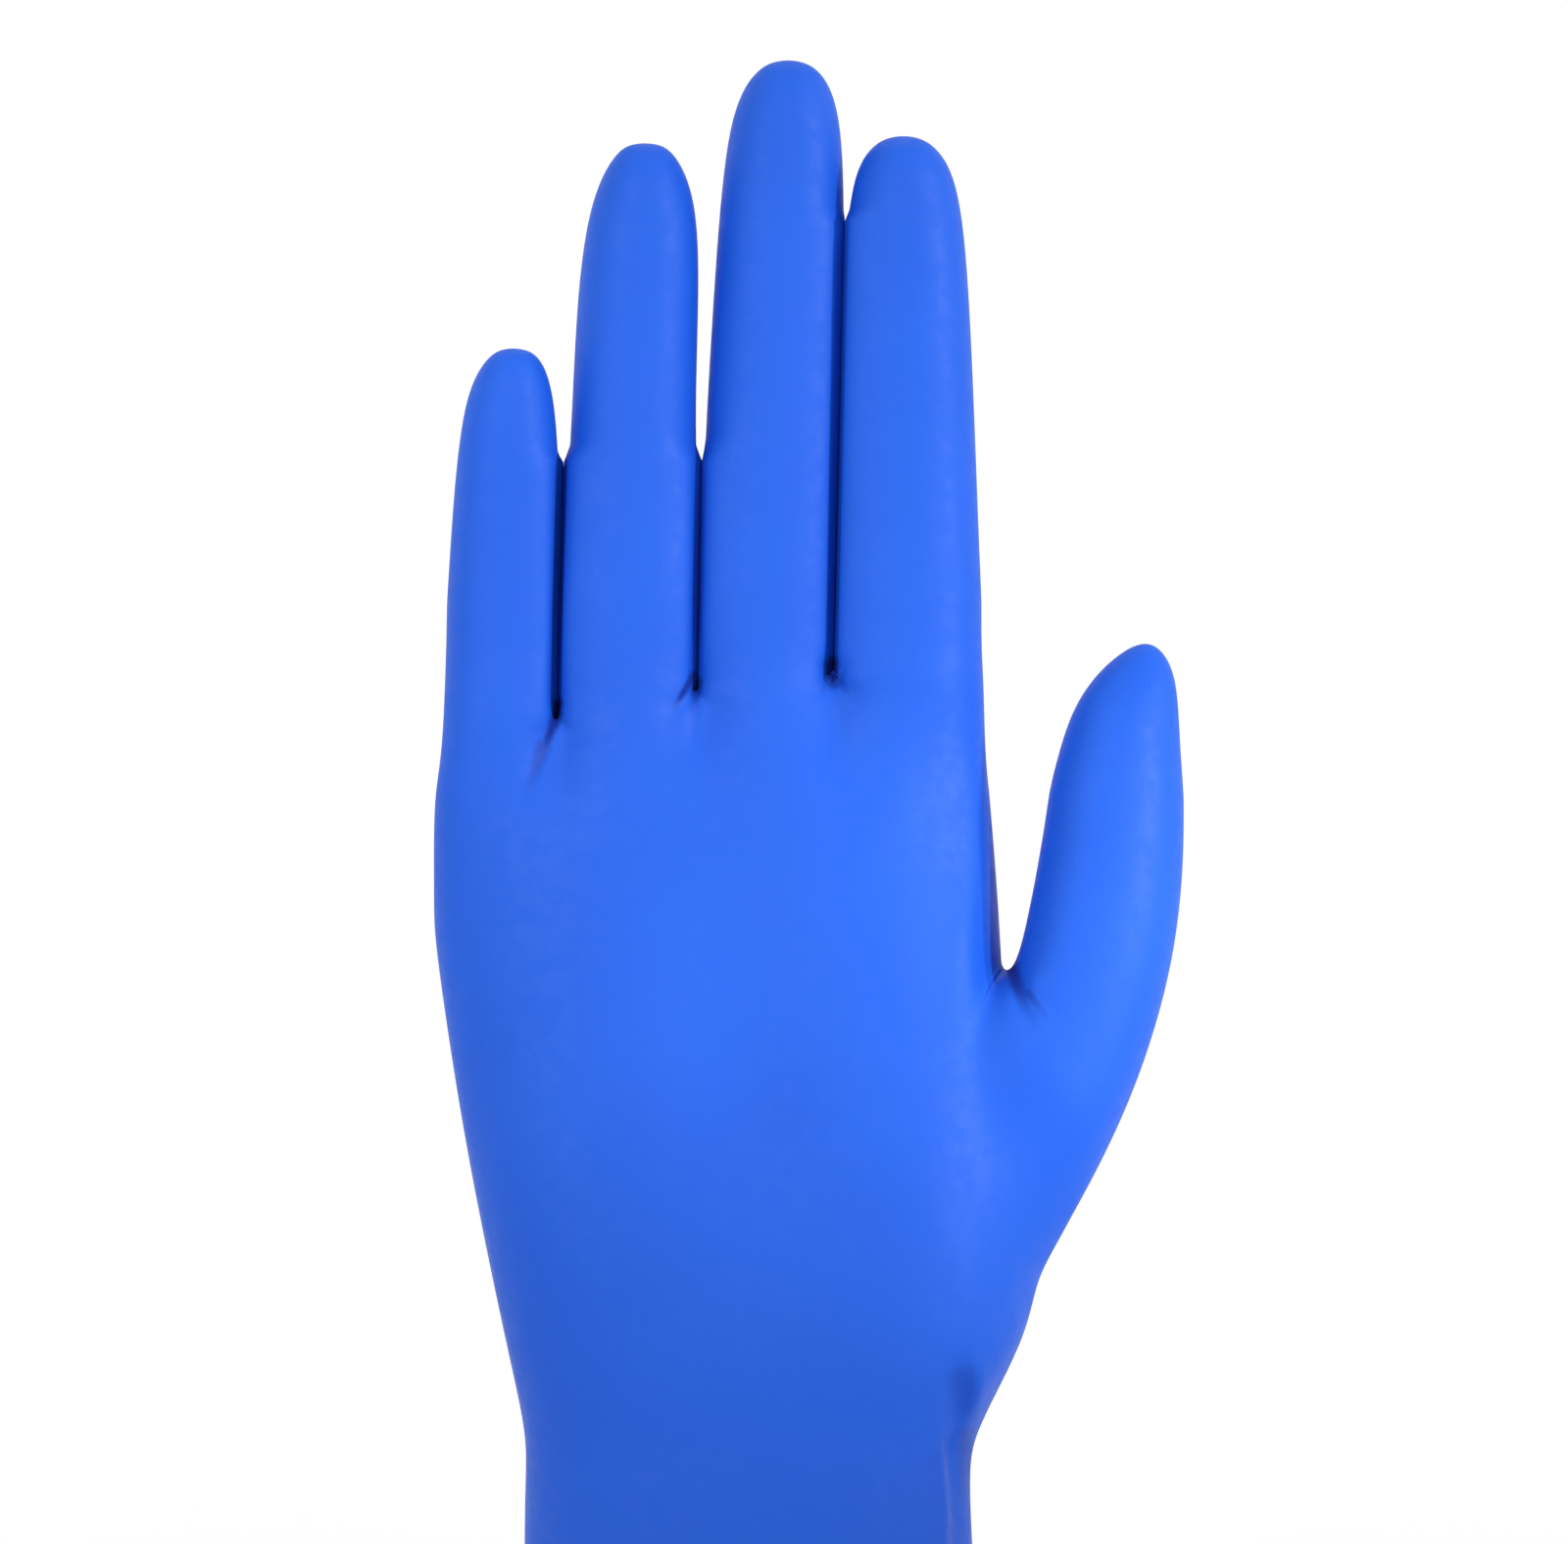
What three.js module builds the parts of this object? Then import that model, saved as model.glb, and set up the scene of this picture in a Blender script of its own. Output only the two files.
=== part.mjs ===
// Nitrile exam glove for a right hand, standing as a hand fills it.
// Millimetres, +Z from the cuff's mouth to the fingertips, the palm faces -Y, the thumb is at +X.
// The origin is the middle of the mouth, on the plane that the rolled bead touches.
import * as THREE from "three";

// Film
const WALL = 1.0;
const BEAD_THICKNESS = 3.0;

// Cuff and wrist
const CUFF_LENGTH = 40;
const CUFF_WIDTH = 64;
const CUFF_DEPTH = 50;
const WRIST_WIDTH = 62.2;
const WRIST_DEPTH = 42;

// Palm, from the wrist's narrowest place to the web between the ring and middle fingers
const PALM_LENGTH = 112;
const PALM_DEPTH = 28;
const PALM_EXTRA_WIDTH = 2.3;
const KNUCKLE_SHIFT = -4.7;
const WEB_WIDTH = 1.0;
const WEB_SLOPE = 12;

// Fingers: their breadth side by side, then each one's depth and its length from the palm's end
const FINGER_BREADTH = 76.3;
const LITTLE_DEPTH = 14.6;
const LITTLE_LENGTH = 47.2;
const RING_DEPTH = 16.2;
const RING_LENGTH = 75.8;
const MIDDLE_DEPTH = 16.8;
const MIDDLE_LENGTH = 87.5;
const INDEX_DEPTH = 17.0;
const INDEX_LENGTH = 76.8;
const FINGER_CURL = 5;

// Slits: how near two fingers press, how far up they touch, and how far the slit slants
const FINGER_GAP = 0.5;
const OUTER_TOUCH = 31;
const INDEX_TOUCH = 61;
const SLIT_SLANT = 2.0;
const PRESS_DEPTH = 0.8;

// Thumb, from its web to its tip, and from its web down to its root at the wrist
const THUMB_WEB_HEIGHT = 73;
const THUMB_LENGTH = 44.6;
const THUMB_ROOT = 51;
const THUMB_WIDTH = 19;
const THUMB_DEPTH = 19;
const THUMB_EDGE = 0.504;
const THUMB_SPREAD = 6;
const THUMB_FORWARD = 9;

// How square each rounded section is: 2 is an ellipse
const CUFF_SQUARENESS = 2.0;
const WRIST_SQUARENESS = 2.25;
const PALM_SQUARENESS = 2.5;
const FINGER_SQUARENESS = 2.25;
const ROOT_SQUARENESS = 4.2;

// Sections of the cuff: rise is a share of the cuff's length above the bead,
// toWrist how far the section has changed from the mouth's oval to the wrist's.
const CUFF_SECTIONS = [
  { rise: 0, toWrist: 0 },
  { rise: 0.5, toWrist: 0.5 },
  { rise: 1, toWrist: 1 },
];

// Sections of the palm: the heel of the hand from the wrist to the thumb's root, then beside
// that root, then above the thumb's web. rise is a share of that stretch, little and thumb are
// the two edges as shares of the breadth, palm and back the two faces as shares of the depth,
// open how much of the half turn the thumb's root takes up, full how far the palm is filled
// out towards that root, tip how much of the webs' slope the section has, and cleft how
// much of the fingers' rounding.
const HEEL_SECTIONS = [
  { rise: 0.42, little: 0.339, thumb: 0.476, palm: 0.73, back: 0.72, open: 0.05, full: 0, tip: 0, cleft: 0 },
];
const ROOT_SECTIONS = [
  { rise: 0, little: 0.372, thumb: 0.55, palm: 0.7, back: 0.68, open: 0.1, full: 0.3, tip: 0, cleft: 0 },
  { rise: 0.35, little: 0.419, thumb: 0.525, palm: 0.64, back: 0.62, open: 0.15, full: 1, tip: 0, cleft: 0 },
  { rise: 0.69, little: 0.459, thumb: 0.52, palm: 0.57, back: 0.57, open: 0.15, full: 1, tip: 0, cleft: 0 },
];
const UPPER_SECTIONS = [
  { rise: 0.09, little: 0.491, thumb: 0.512, palm: 0.5, back: 0.51, open: 0.1, full: 0.4, tip: 0.2, cleft: 0 },
  { rise: 0.37, little: 0.498, thumb: 0.5, palm: 0.44, back: 0.47, open: 0, full: 0.1, tip: 0.5, cleft: 0 },
  { rise: 0.66, little: 0.498, thumb: 0.491, palm: 0.4, back: 0.42, open: 0, full: 0, tip: 0.8, cleft: 0.2 },
  { rise: 0.84, little: 0.495, thumb: 0.486, palm: 0.37, back: 0.38, open: 0, full: 0, tip: 0.95, cleft: 0.6 },
];

// Fingers from the little one to the index: broad is each one's share of the fingers' breadth,
// and forward how far it stands towards the palm, as a share of its depth.
const FINGERS = [
  { name: "little", broad: 0.2163, depth: LITTLE_DEPTH, length: LITTLE_LENGTH, forward: 0.15 },
  { name: "ring", broad: 0.2543, depth: RING_DEPTH, length: RING_LENGTH, forward: 0.02 },
  { name: "middle", broad: 0.249, depth: MIDDLE_DEPTH, length: MIDDLE_LENGTH, forward: -0.06 },
  { name: "index", broad: 0.2804, depth: INDEX_DEPTH, length: INDEX_LENGTH, forward: 0.04 },
];

// Sections of the fingers: rise is a share of the length, little and thumb how far each
// side draws in, as shares of the width, and deep is a share of the depth.
const FINGER_SECTIONS = {
  little: [
    { rise: 0.07, little: 0.015, thumb: 0, deep: 1.02 },
    { rise: 0.3, little: 0.036, thumb: 0, deep: 1 },
    { rise: 0.6, little: 0.078, thumb: 0.03, deep: 0.96 },
    { rise: 0.85, little: 0.168, thumb: 0.095, deep: 0.8 },
    { rise: 0.965, little: 0.325, thumb: 0.212, deep: 0.5 },
  ],
  ring: [
    { rise: 0.06, little: 0, thumb: 0, deep: 1.03 },
    { rise: 0.25, little: 0, thumb: 0, deep: 1.03 },
    { rise: 0.48, little: 0.032, thumb: 0.045, deep: 0.97 },
    { rise: 0.72, little: 0.062, thumb: 0.045, deep: 0.94 },
    { rise: 0.89, little: 0.15, thumb: 0.09, deep: 0.8 },
    { rise: 0.975, little: 0.3, thumb: 0.228, deep: 0.5 },
  ],
  middle: [
    { rise: 0.06, little: 0, thumb: 0, deep: 1.03 },
    { rise: 0.32, little: 0.003, thumb: 0, deep: 1.01 },
    { rise: 0.66, little: 0.061, thumb: 0, deep: 0.96 },
    { rise: 0.89, little: 0.152, thumb: 0.048, deep: 0.8 },
    { rise: 0.975, little: 0.315, thumb: 0.19, deep: 0.5 },
  ],
  index: [
    { rise: 0.06, little: 0, thumb: 0.02, deep: 1.02 },
    { rise: 0.3, little: 0, thumb: 0.024, deep: 0.99 },
    { rise: 0.65, little: 0, thumb: 0.045, deep: 0.94 },
    { rise: 0.89, little: 0.028, thumb: 0.105, deep: 0.79 },
    { rise: 0.975, little: 0.145, thumb: 0.24, deep: 0.5 },
  ],
};

// Sections of the thumb: rise is where its web side lies, out how far that side has moved
// out of the palm as a share of the spread, wide and root the shares of the thumb's width and
// root that its width adds up, deep a share of the depth, sink how far its faces lag behind
// its edges as a share of the width, tilt the section's slope in degrees, and forward a share
// of the thumb's stand.
const THUMB_SECTIONS = [
  { rise: 0.02, out: 0.12, wide: 0, root: 0.86, deep: 1.32, sink: 0.28, tilt: 83, forward: 0.17 },
  { rise: 0, out: 0.22, wide: 0.8, root: 0.38, deep: 1.29, sink: 0.14, tilt: 74, forward: 0.36 },
  { rise: 0.045, out: 0.43, wide: 1.1, root: 0.08, deep: 1.18, sink: 0.03, tilt: 51, forward: 0.64 },
  { rise: 0.2, out: 0.7, wide: 1.105, root: 0, deep: 1.07, sink: 0, tilt: 21, forward: 0.88 },
  { rise: 0.455, out: 1.04, wide: 1.015, root: 0, deep: 0.98, sink: 0, tilt: 5, forward: 0.98 },
  { rise: 0.71, out: 1.36, wide: 0.895, root: 0, deep: 0.85, sink: 0, tilt: -2, forward: 1.03 },
  { rise: 0.87, out: 1.89, wide: 0.705, root: 0, deep: 0.62, sink: 0, tilt: -7, forward: 1.03 },
];

// The lines between the fingers, and outside the first and last: drift is how far a line moves
// towards the thumb over a middle finger's length, as a share of the fingers' mean width, foot
// how far above the palm's end its fingers begin, as a share of the webs' slope, and touch how
// far up its two fingers press on each other.
const FINGER_LINES = [
  { name: "outside the little finger", drift: 0.12, foot: -0.4, touch: 0 },
  { name: "little to ring", drift: 0.12, foot: -0.3, touch: OUTER_TOUCH },
  { name: "ring to middle", drift: 0.09, foot: 0, touch: OUTER_TOUCH },
  { name: "middle to index", drift: 0.11, foot: 0.17, touch: INDEX_TOUCH },
  { name: "outside the index finger", drift: -0.12, foot: 0.17, touch: 0 },
];

// Mounds and hollows: across and up are shares of the palm's breadth and length, wide and
// tall the reach of each as shares of the same, high a share of the palm's depth.
const PALM_RELIEF = [
  { name: "ball of the thumb", face: "palm", across: 0.42, up: 0.42, wide: 0.22, tall: 0.28, high: 0.12 },
  { name: "heel of the hand", face: "palm", across: -0.3, up: 0.3, wide: 0.16, tall: 0.3, high: 0.07 },
  { name: "palm hollow", face: "palm", across: 0.02, up: 0.56, wide: 0.16, tall: 0.25, high: -0.09 },
  { name: "index knuckle", face: "back", across: 0.34, up: 0.78, wide: 0.1, tall: 0.1, high: 0.05 },
  { name: "middle knuckle", face: "back", across: 0.12, up: 0.8, wide: 0.1, tall: 0.1, high: 0.06 },
  { name: "ring knuckle", face: "back", across: -0.12, up: 0.78, wide: 0.1, tall: 0.1, high: 0.05 },
  { name: "little knuckle", face: "back", across: -0.34, up: 0.74, wide: 0.09, tall: 0.1, high: 0.04 },
];

const RING_SIDES = 10;
const FOOT_DEPTH = 1.03;
const WEB_TURN = 0.25;
const FITTING_ROUNDS = 3;
const BEAD_SEGMENTS = 6;
const SLIT_REACH = 0.45;
const SLIT_FADE_HEIGHT = 4;
const WEB_RAMP_HEIGHT = 3;

const wristHeight = CUFF_LENGTH;
const webHeight = CUFF_LENGTH + PALM_LENGTH;
const palmBreadth = FINGER_BREADTH + PALM_EXTRA_WIDTH;
const beadRadius = BEAD_THICKNESS / 2;
const rimHeight = beadRadius + Math.sqrt(beadRadius ** 2 - (WALL / 2) ** 2);

const mix = (a, b, share) => a + (b - a) * share;
const signedPower = (value, power) => Math.sign(value) * Math.abs(value) ** power;

function smooth(share) {
  const s = Math.min(1, Math.max(0, share));
  return s * s * (3 - 2 * s);
}

// A point of a rounded section whose half width and half depth are 1.
function roundPoint(angle, squareness) {
  return {
    across: signedPower(Math.cos(angle), 2 / squareness),
    forward: signedPower(Math.sin(angle), 2 / squareness),
  };
}

// Half the depth of a rounded section at a share of its half width.
function roundDepth(share, squareness) {
  return Math.max(0, 1 - Math.abs(share) ** squareness) ** (1 / squareness);
}

// A mesh of four-sided faces on shared points.
class Cage {
  constructor() {
    this.points = [];
    this.faces = [];
  }

  point(x, y, z) {
    this.points.push(new THREE.Vector3(x, y, z));
    return this.points.length - 1;
  }

  // Faces between two closed rings; skipped holds the columns to leave open.
  band(lower, upper, skipped = []) {
    lower.forEach((corner, i) => {
      if (skipped.includes(i)) return;
      const next = (i + 1) % lower.length;
      this.faces.push([corner, lower[next], upper[next], upper[i]]);
    });
  }

  // Drops the points that no face uses.
  dropLoose() {
    const used = new Set(this.faces.flat());
    const kept = this.points.map((p, i) => i).filter((i) => used.has(i));
    const renumbered = new Map(kept.map((old, i) => [old, i]));
    this.points = kept.map((i) => this.points[i]);
    this.faces = this.faces.map((face) => face.map((p) => renumbered.get(p)));
  }

  // Closes a sleeve's last ring with two rows of three faces, whose middle row is the tip.
  cap(ring, tip) {
    const front = [ring[4], ring[3], ring[2], ring[1]];
    const middle = [ring[5], tip[0], tip[1], ring[0]];
    const back = [ring[6], ring[7], ring[8], ring[9]];
    for (let i = 0; i < 3; i++) {
      this.faces.push([front[i], front[i + 1], middle[i + 1], middle[i]]);
      this.faces.push([middle[i], middle[i + 1], back[i + 1], back[i]]);
    }
  }
}

const fingerWidth = (index) => FINGERS[index].broad * FINGER_BREADTH;

// The line between two fingers, or outside the first or last one, at a height.
function lineAt(line, height) {
  let foot = KNUCKLE_SHIFT - FINGER_BREADTH / 2;
  for (let i = 0; i < line; i++) foot += fingerWidth(i);
  const pitch = FINGER_BREADTH / FINGERS.length;
  const rise = Math.max(0, (height - webHeight) / MIDDLE_LENGTH);
  return foot + FINGER_LINES[line].drift * pitch * rise;
}

// One ring round a finger. Its points run from the thumb side over the palm side.
function fingerRing(cage, index, section) {
  const finger = FINGERS[index];
  const z = webHeight + section.rise * finger.length;
  const left = lineAt(index, z) + FINGER_GAP / 2 + section.little * fingerWidth(index);
  const right = lineAt(index + 1, z) - FINGER_GAP / 2 - section.thumb * fingerWidth(index);
  const middleX = (left + right) / 2;
  const middleY = -finger.forward * finger.depth - FINGER_CURL * section.rise ** 2;
  const ring = [];
  for (let i = 0; i < RING_SIDES; i++) {
    const at = roundPoint((i / RING_SIDES) * 2 * Math.PI, FINGER_SQUARENESS);
    ring.push(
      cage.point(
        middleX + ((right - left) / 2) * at.across,
        middleY - (finger.depth / 2) * section.deep * at.forward,
        z,
      ),
    );
  }
  return ring;
}

// The points where a finger leaves the palm, lower on the back than on the palm.
function fingerFoot(cage, index) {
  const finger = FINGERS[index];
  const first = index === 0;
  const last = index === FINGERS.length - 1;
  const left = lineAt(index, webHeight) + (first ? 0 : WEB_WIDTH / 2);
  const right = lineAt(index + 1, webHeight) - (last ? 0 : WEB_WIDTH / 2);
  const middleY = -finger.forward * finger.depth;
  const ring = [];
  for (let i = 0; i < RING_SIDES; i++) {
    const at = roundPoint((i / RING_SIDES) * 2 * Math.PI, FINGER_SQUARENESS);
    const y = middleY - (finger.depth / 2) * FOOT_DEPTH * at.forward;
    const foot = mix(FINGER_LINES[index].foot, FINGER_LINES[index + 1].foot, (1 + at.across) / 2);
    const z = webHeight + WEB_SLOPE * (foot - smooth((WEB_TURN - at.forward) / (1 + WEB_TURN)));
    ring.push(cage.point((left + right) / 2 + ((right - left) / 2) * at.across, y, z));
  }
  return ring;
}

// The palm's last ring, made of the points that the four fingers' feet share with it:
// the little side, the palm side from little to index, the thumb side, then the back.
function palmEnd(feet) {
  const palmSide = feet.flatMap((ring) => [ring[4], ring[3], ring[2], ring[1]]);
  const backSide = [...feet].reverse().flatMap((ring) => [ring[9], ring[8], ring[7], ring[6]]);
  return [feet[0][5], ...palmSide, feet[feet.length - 1][0], ...backSide];
}

// Shares of the breadth at which the columns of the palm side stand in its last ring.
function columnShares(cage, end, count) {
  const left = cage.points[end[0]].x;
  const right = cage.points[end[count + 1]].x;
  return end.slice(1, count + 1).map((p) => (cage.points[p].x - left) / (right - left));
}

// One ring round the palm, wrist or cuff, which takes on the fingers' feet as it nears them.
function bodyRing(cage, shares, end, section) {
  const { left, right, palm, back, squareness, rooted, even, open, height, tip, cleft } = section;
  const count = shares.length;
  const place = (column) => {
    const turn = (Math.PI * (1 - open) * (column + 1)) / (count + 1);
    return mix(shares[column], 0.5 - 0.5 * Math.cos(turn), even);
  };
  const rise = (column, side) => {
    const lift = cage.points[end[1 + column]].z - webHeight;
    return height + tip * (lift - (WEB_SLOPE * (1 + side)) / 2);
  };
  const corner = (column, depth, side, foot) => {
    const share = place(column);
    const square = share > 0.5 && side < 0 ? rooted : squareness;
    const rounded = side * depth * roundDepth(2 * share - 1, square);
    const y = mix(rounded, cage.points[foot].y, cleft);
    return cage.point(mix(left, right, share), y, rise(column, side));
  };
  const ring = [cage.point(left, 0, rise(0, 0))];
  for (let i = 0; i < count; i++) ring.push(corner(i, palm, -1, end[1 + i]));
  ring.push(cage.point(right, 0, rise(count - 1, 0)));
  for (let i = count - 1; i >= 0; i--) ring.push(corner(i, back, 1, end.at(-1 - i)));
  return ring;
}

function cuffSection(row) {
  const width = mix(CUFF_WIDTH, WRIST_WIDTH, row.toWrist);
  const depth = mix(CUFF_DEPTH, WRIST_DEPTH, row.toWrist);
  const squareness = mix(CUFF_SQUARENESS, WRIST_SQUARENESS, row.toWrist);
  return {
    left: -width / 2,
    right: width / 2,
    palm: depth / 2,
    back: depth / 2,
    squareness,
    rooted: squareness,
    even: 1,
    open: 0,
    height: mix(rimHeight, wristHeight, row.rise),
    tip: 0,
    cleft: 0,
  };
}

function palmSection(row, lowest, highest) {
  return {
    left: KNUCKLE_SHIFT - row.little * palmBreadth,
    right: KNUCKLE_SHIFT + row.thumb * palmBreadth,
    palm: row.palm * PALM_DEPTH,
    back: row.back * PALM_DEPTH,
    squareness: PALM_SQUARENESS,
    rooted: mix(PALM_SQUARENESS, ROOT_SQUARENESS, row.full),
    even: row.open > 0 ? 1 : 0.5 * (1 - row.rise),
    open: row.open,
    height: wristHeight + mix(lowest, highest, row.rise),
    tip: row.tip,
    cleft: row.cleft,
  };
}

// One ring round the thumb. Its points run from the outer side over the palm side.
function thumbRing(cage, section) {
  const palmEdge = KNUCKLE_SHIFT + THUMB_EDGE * palmBreadth;
  const tilt = THREE.MathUtils.degToRad(section.tilt);
  const half = (section.wide * THUMB_WIDTH + section.root * THUMB_ROOT) / 2;
  const web = new THREE.Vector3(
    palmEdge + section.out * THUMB_SPREAD,
    -section.forward * THUMB_FORWARD,
    wristHeight + THUMB_WEB_HEIGHT + section.rise * THUMB_LENGTH,
  );
  const outward = new THREE.Vector3(Math.cos(tilt), 0, -Math.sin(tilt));
  const middle = web.addScaledVector(outward, half);
  const ring = [];
  for (let i = 0; i < RING_SIDES; i++) {
    const at = roundPoint((i / RING_SIDES) * 2 * Math.PI, FINGER_SQUARENESS);
    const p = middle.clone().addScaledVector(outward, half * at.across);
    p.y -= (THUMB_DEPTH / 2) * section.deep * at.forward;
    p.x -= section.sink * THUMB_WIDTH * Math.abs(at.forward);
    ring.push(cage.point(p.x, p.y, p.z));
  }
  return ring;
}

// A sleeve from its foot ring up through its rings, closed by its tip.
function sleeve(cage, rings, tip) {
  for (let i = 1; i < rings.length; i++) {
    cage.band([...rings[i - 1]].reverse(), [...rings[i]].reverse());
  }
  cage.cap(rings[rings.length - 1], tip);
}

// The two points of a sleeve's tip, over the middle of its last ring.
function tipPoints(cage, ring, rise) {
  return [5, 0].map((side) => {
    const edge = cage.points[ring[side]];
    const middle = cage.points[ring[0]].clone().add(cage.points[ring[5]]).multiplyScalar(0.5);
    const p = middle.lerp(edge, 0.38).add(rise);
    return cage.point(p.x, p.y, p.z);
  });
}

function gloveCage() {
  const cage = new Cage();
  const feet = FINGERS.map((finger, i) => fingerFoot(cage, i));
  const end = palmEnd(feet);
  const columns = 4 * FINGERS.length;
  const shares = columnShares(cage, end, columns);
  const rootHeight = THUMB_WEB_HEIGHT - THUMB_ROOT;
  const sections = [
    ...CUFF_SECTIONS.map((row) => cuffSection(row)),
    ...HEEL_SECTIONS.map((row) => palmSection(row, 0, rootHeight)),
    ...ROOT_SECTIONS.map((row) => palmSection(row, rootHeight, THUMB_WEB_HEIGHT)),
    ...UPPER_SECTIONS.map((row) => palmSection(row, THUMB_WEB_HEIGHT, PALM_LENGTH)),
  ];
  const rows = [...sections.map((section) => bodyRing(cage, shares, end, section)), end];
  const thumbColumn = columns + 1;
  const rootStart = CUFF_SECTIONS.length + HEEL_SECTIONS.length;
  const rootRows = rows.slice(rootStart, rootStart + ROOT_SECTIONS.length + 1);
  for (let i = 1; i < rows.length; i++) {
    const beside = rootRows.includes(rows[i - 1]) && rootRows.includes(rows[i]);
    cage.band(rows[i - 1], rows[i], beside ? [thumbColumn - 1, thumbColumn] : []);
  }
  FINGERS.forEach((finger, i) => {
    const rings = [feet[i], ...FINGER_SECTIONS[finger.name].map((row) => fingerRing(cage, i, row))];
    const last = rings[rings.length - 1];
    const tipRise = (1 - FINGER_SECTIONS[finger.name].at(-1).rise) * finger.length;
    sleeve(cage, rings, tipPoints(cage, last, new THREE.Vector3(0, 0, tipRise)));
    if (i === 0) return;
    const before = feet[i - 1];
    cage.faces.push([before[1], feet[i][4], feet[i][5], before[0]]);
    cage.faces.push([before[0], feet[i][5], feet[i][6], before[9]]);
  });
  const column = (offset) => rootRows.map((row) => row[thumbColumn + offset]);
  const root = [
    rootRows[0][thumbColumn],
    ...column(-1),
    rootRows.at(-1)[thumbColumn],
    ...column(1).reverse(),
  ];
  const rings = [root, ...THUMB_SECTIONS.map((row) => thumbRing(cage, row))];
  const lastRow = THUMB_SECTIONS.at(-1);
  const tipRise = (1 - lastRow.rise) * THUMB_LENGTH;
  sleeve(cage, rings, tipPoints(cage, rings.at(-1), new THREE.Vector3(0.25 * tipRise, 0, tipRise)));
  cage.dropLoose();
  return cage;
}

const edgeKey = (a, b) => (a < b ? `${a} ${b}` : `${b} ${a}`);

// Which faces and edges meet at each point, and which faces at each edge.
function neighbours(cage) {
  const edges = new Map();
  const around = cage.points.map(() => ({ edges: [], opposite: [], faces: [] }));
  cage.faces.forEach((face, f) => {
    face.forEach((a, i) => {
      const b = face[(i + 1) % 4];
      const key = edgeKey(a, b);
      if (!edges.has(key)) {
        edges.set(key, { ends: [a, b], faces: [] });
        around[a].edges.push(key);
        around[b].edges.push(key);
      }
      edges.get(key).faces.push(f);
      around[a].opposite.push(face[(i + 2) % 4]);
      around[a].faces.push(f);
    });
  });
  return { edges, around };
}

const otherEnd = (edge, p) => (edge.ends[0] === p ? edge.ends[1] : edge.ends[0]);

// Where each point ends up on the smooth surface that the cage stands for.
function limitPoints(cage, { edges, around }) {
  return cage.points.map((p, i) => {
    const at = around[i];
    const sum = new THREE.Vector3();
    const rim = at.edges.map((key) => edges.get(key)).filter((edge) => edge.faces.length === 1);
    if (rim.length) {
      for (const edge of rim) sum.add(cage.points[otherEnd(edge, i)]);
      return sum.addScaledVector(p, 4).divideScalar(6);
    }
    const n = at.edges.length;
    for (const key of at.edges) sum.addScaledVector(cage.points[otherEnd(edges.get(key), i)], 4);
    for (const other of at.opposite) sum.add(cage.points[other]);
    return sum.addScaledVector(p, n * n).divideScalar(n * (n + 5));
  });
}

// Moves the cage until its smooth surface passes through the points that it was given.
function fitThrough(cage) {
  const wanted = cage.points.map((p) => p.clone());
  const links = neighbours(cage);
  for (let round = 0; round < FITTING_ROUNDS; round++) {
    const reached = limitPoints(cage, links);
    cage.points.forEach((p, i) => p.add(wanted[i]).sub(reached[i]));
  }
}

// One step of Catmull-Clark subdivision.
function subdivided(cage) {
  const { edges, around } = neighbours(cage);
  const finer = new Cage();
  const average = (points) =>
    points.reduce((sum, p) => sum.add(p), new THREE.Vector3()).divideScalar(points.length);
  const facePoints = cage.faces.map((face) => average(face.map((p) => cage.points[p])));
  const middle = (edge) => average(edge.ends.map((p) => cage.points[p]));

  finer.points = cage.points.map((p, i) => {
    const at = around[i];
    const all = at.edges.map((key) => edges.get(key));
    const rim = all.filter((edge) => edge.faces.length === 1);
    if (rim.length) {
      return average(rim.map(middle)).multiplyScalar(0.5).addScaledVector(p, 0.5);
    }
    const n = all.length;
    const faces = average(at.faces.map((f) => facePoints[f]));
    const middles = average(all.map(middle));
    return faces.addScaledVector(middles, 2).addScaledVector(p, n - 3).divideScalar(n);
  });
  const edgeIndex = new Map();
  for (const [key, edge] of edges) {
    edgeIndex.set(key, finer.points.length);
    const ends = middle(edge);
    const inner = edge.faces.length === 2;
    finer.points.push(
      inner ? ends.lerp(average(edge.faces.map((f) => facePoints[f])), 0.5) : ends,
    );
  }
  cage.faces.forEach((face, f) => {
    const centre = finer.points.push(facePoints[f]) - 1;
    face.forEach((p, i) => {
      const after = edgeIndex.get(edgeKey(p, face[(i + 1) % 4]));
      const before = edgeIndex.get(edgeKey(face[(i + 3) % 4], p));
      finer.faces.push([p, after, centre, before]);
    });
  });
  return finer;
}

// Outward normals, each the mean of the faces round its point.
function pointNormals(cage) {
  const normals = cage.points.map(() => new THREE.Vector3());
  for (const face of cage.faces) {
    const [a, b, c, d] = face.map((p) => cage.points[p]);
    const across = new THREE.Vector3().subVectors(c, a);
    const normal = across.cross(new THREE.Vector3().subVectors(d, b));
    for (const p of face) normals[p].add(normal);
  }
  return normals.map((n) => n.normalize());
}

// Mounds and hollows push the film out of or into the palm and the back.
function addRelief(cage) {
  const normals = pointNormals(cage);
  cage.points.forEach((p, i) => {
    let push = 0;
    for (const row of PALM_RELIEF) {
      const facing = row.face === "palm" ? -normals[i].y : normals[i].y;
      const dx = (p.x - KNUCKLE_SHIFT - row.across * palmBreadth) / (row.wide * palmBreadth);
      const dz = (p.z - wristHeight - row.up * PALM_LENGTH) / (row.tall * PALM_LENGTH);
      push += smooth(facing) * row.high * PALM_DEPTH * Math.exp(-dx * dx - dz * dz);
    }
    p.addScaledVector(normals[i], push);
  });
}

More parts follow.
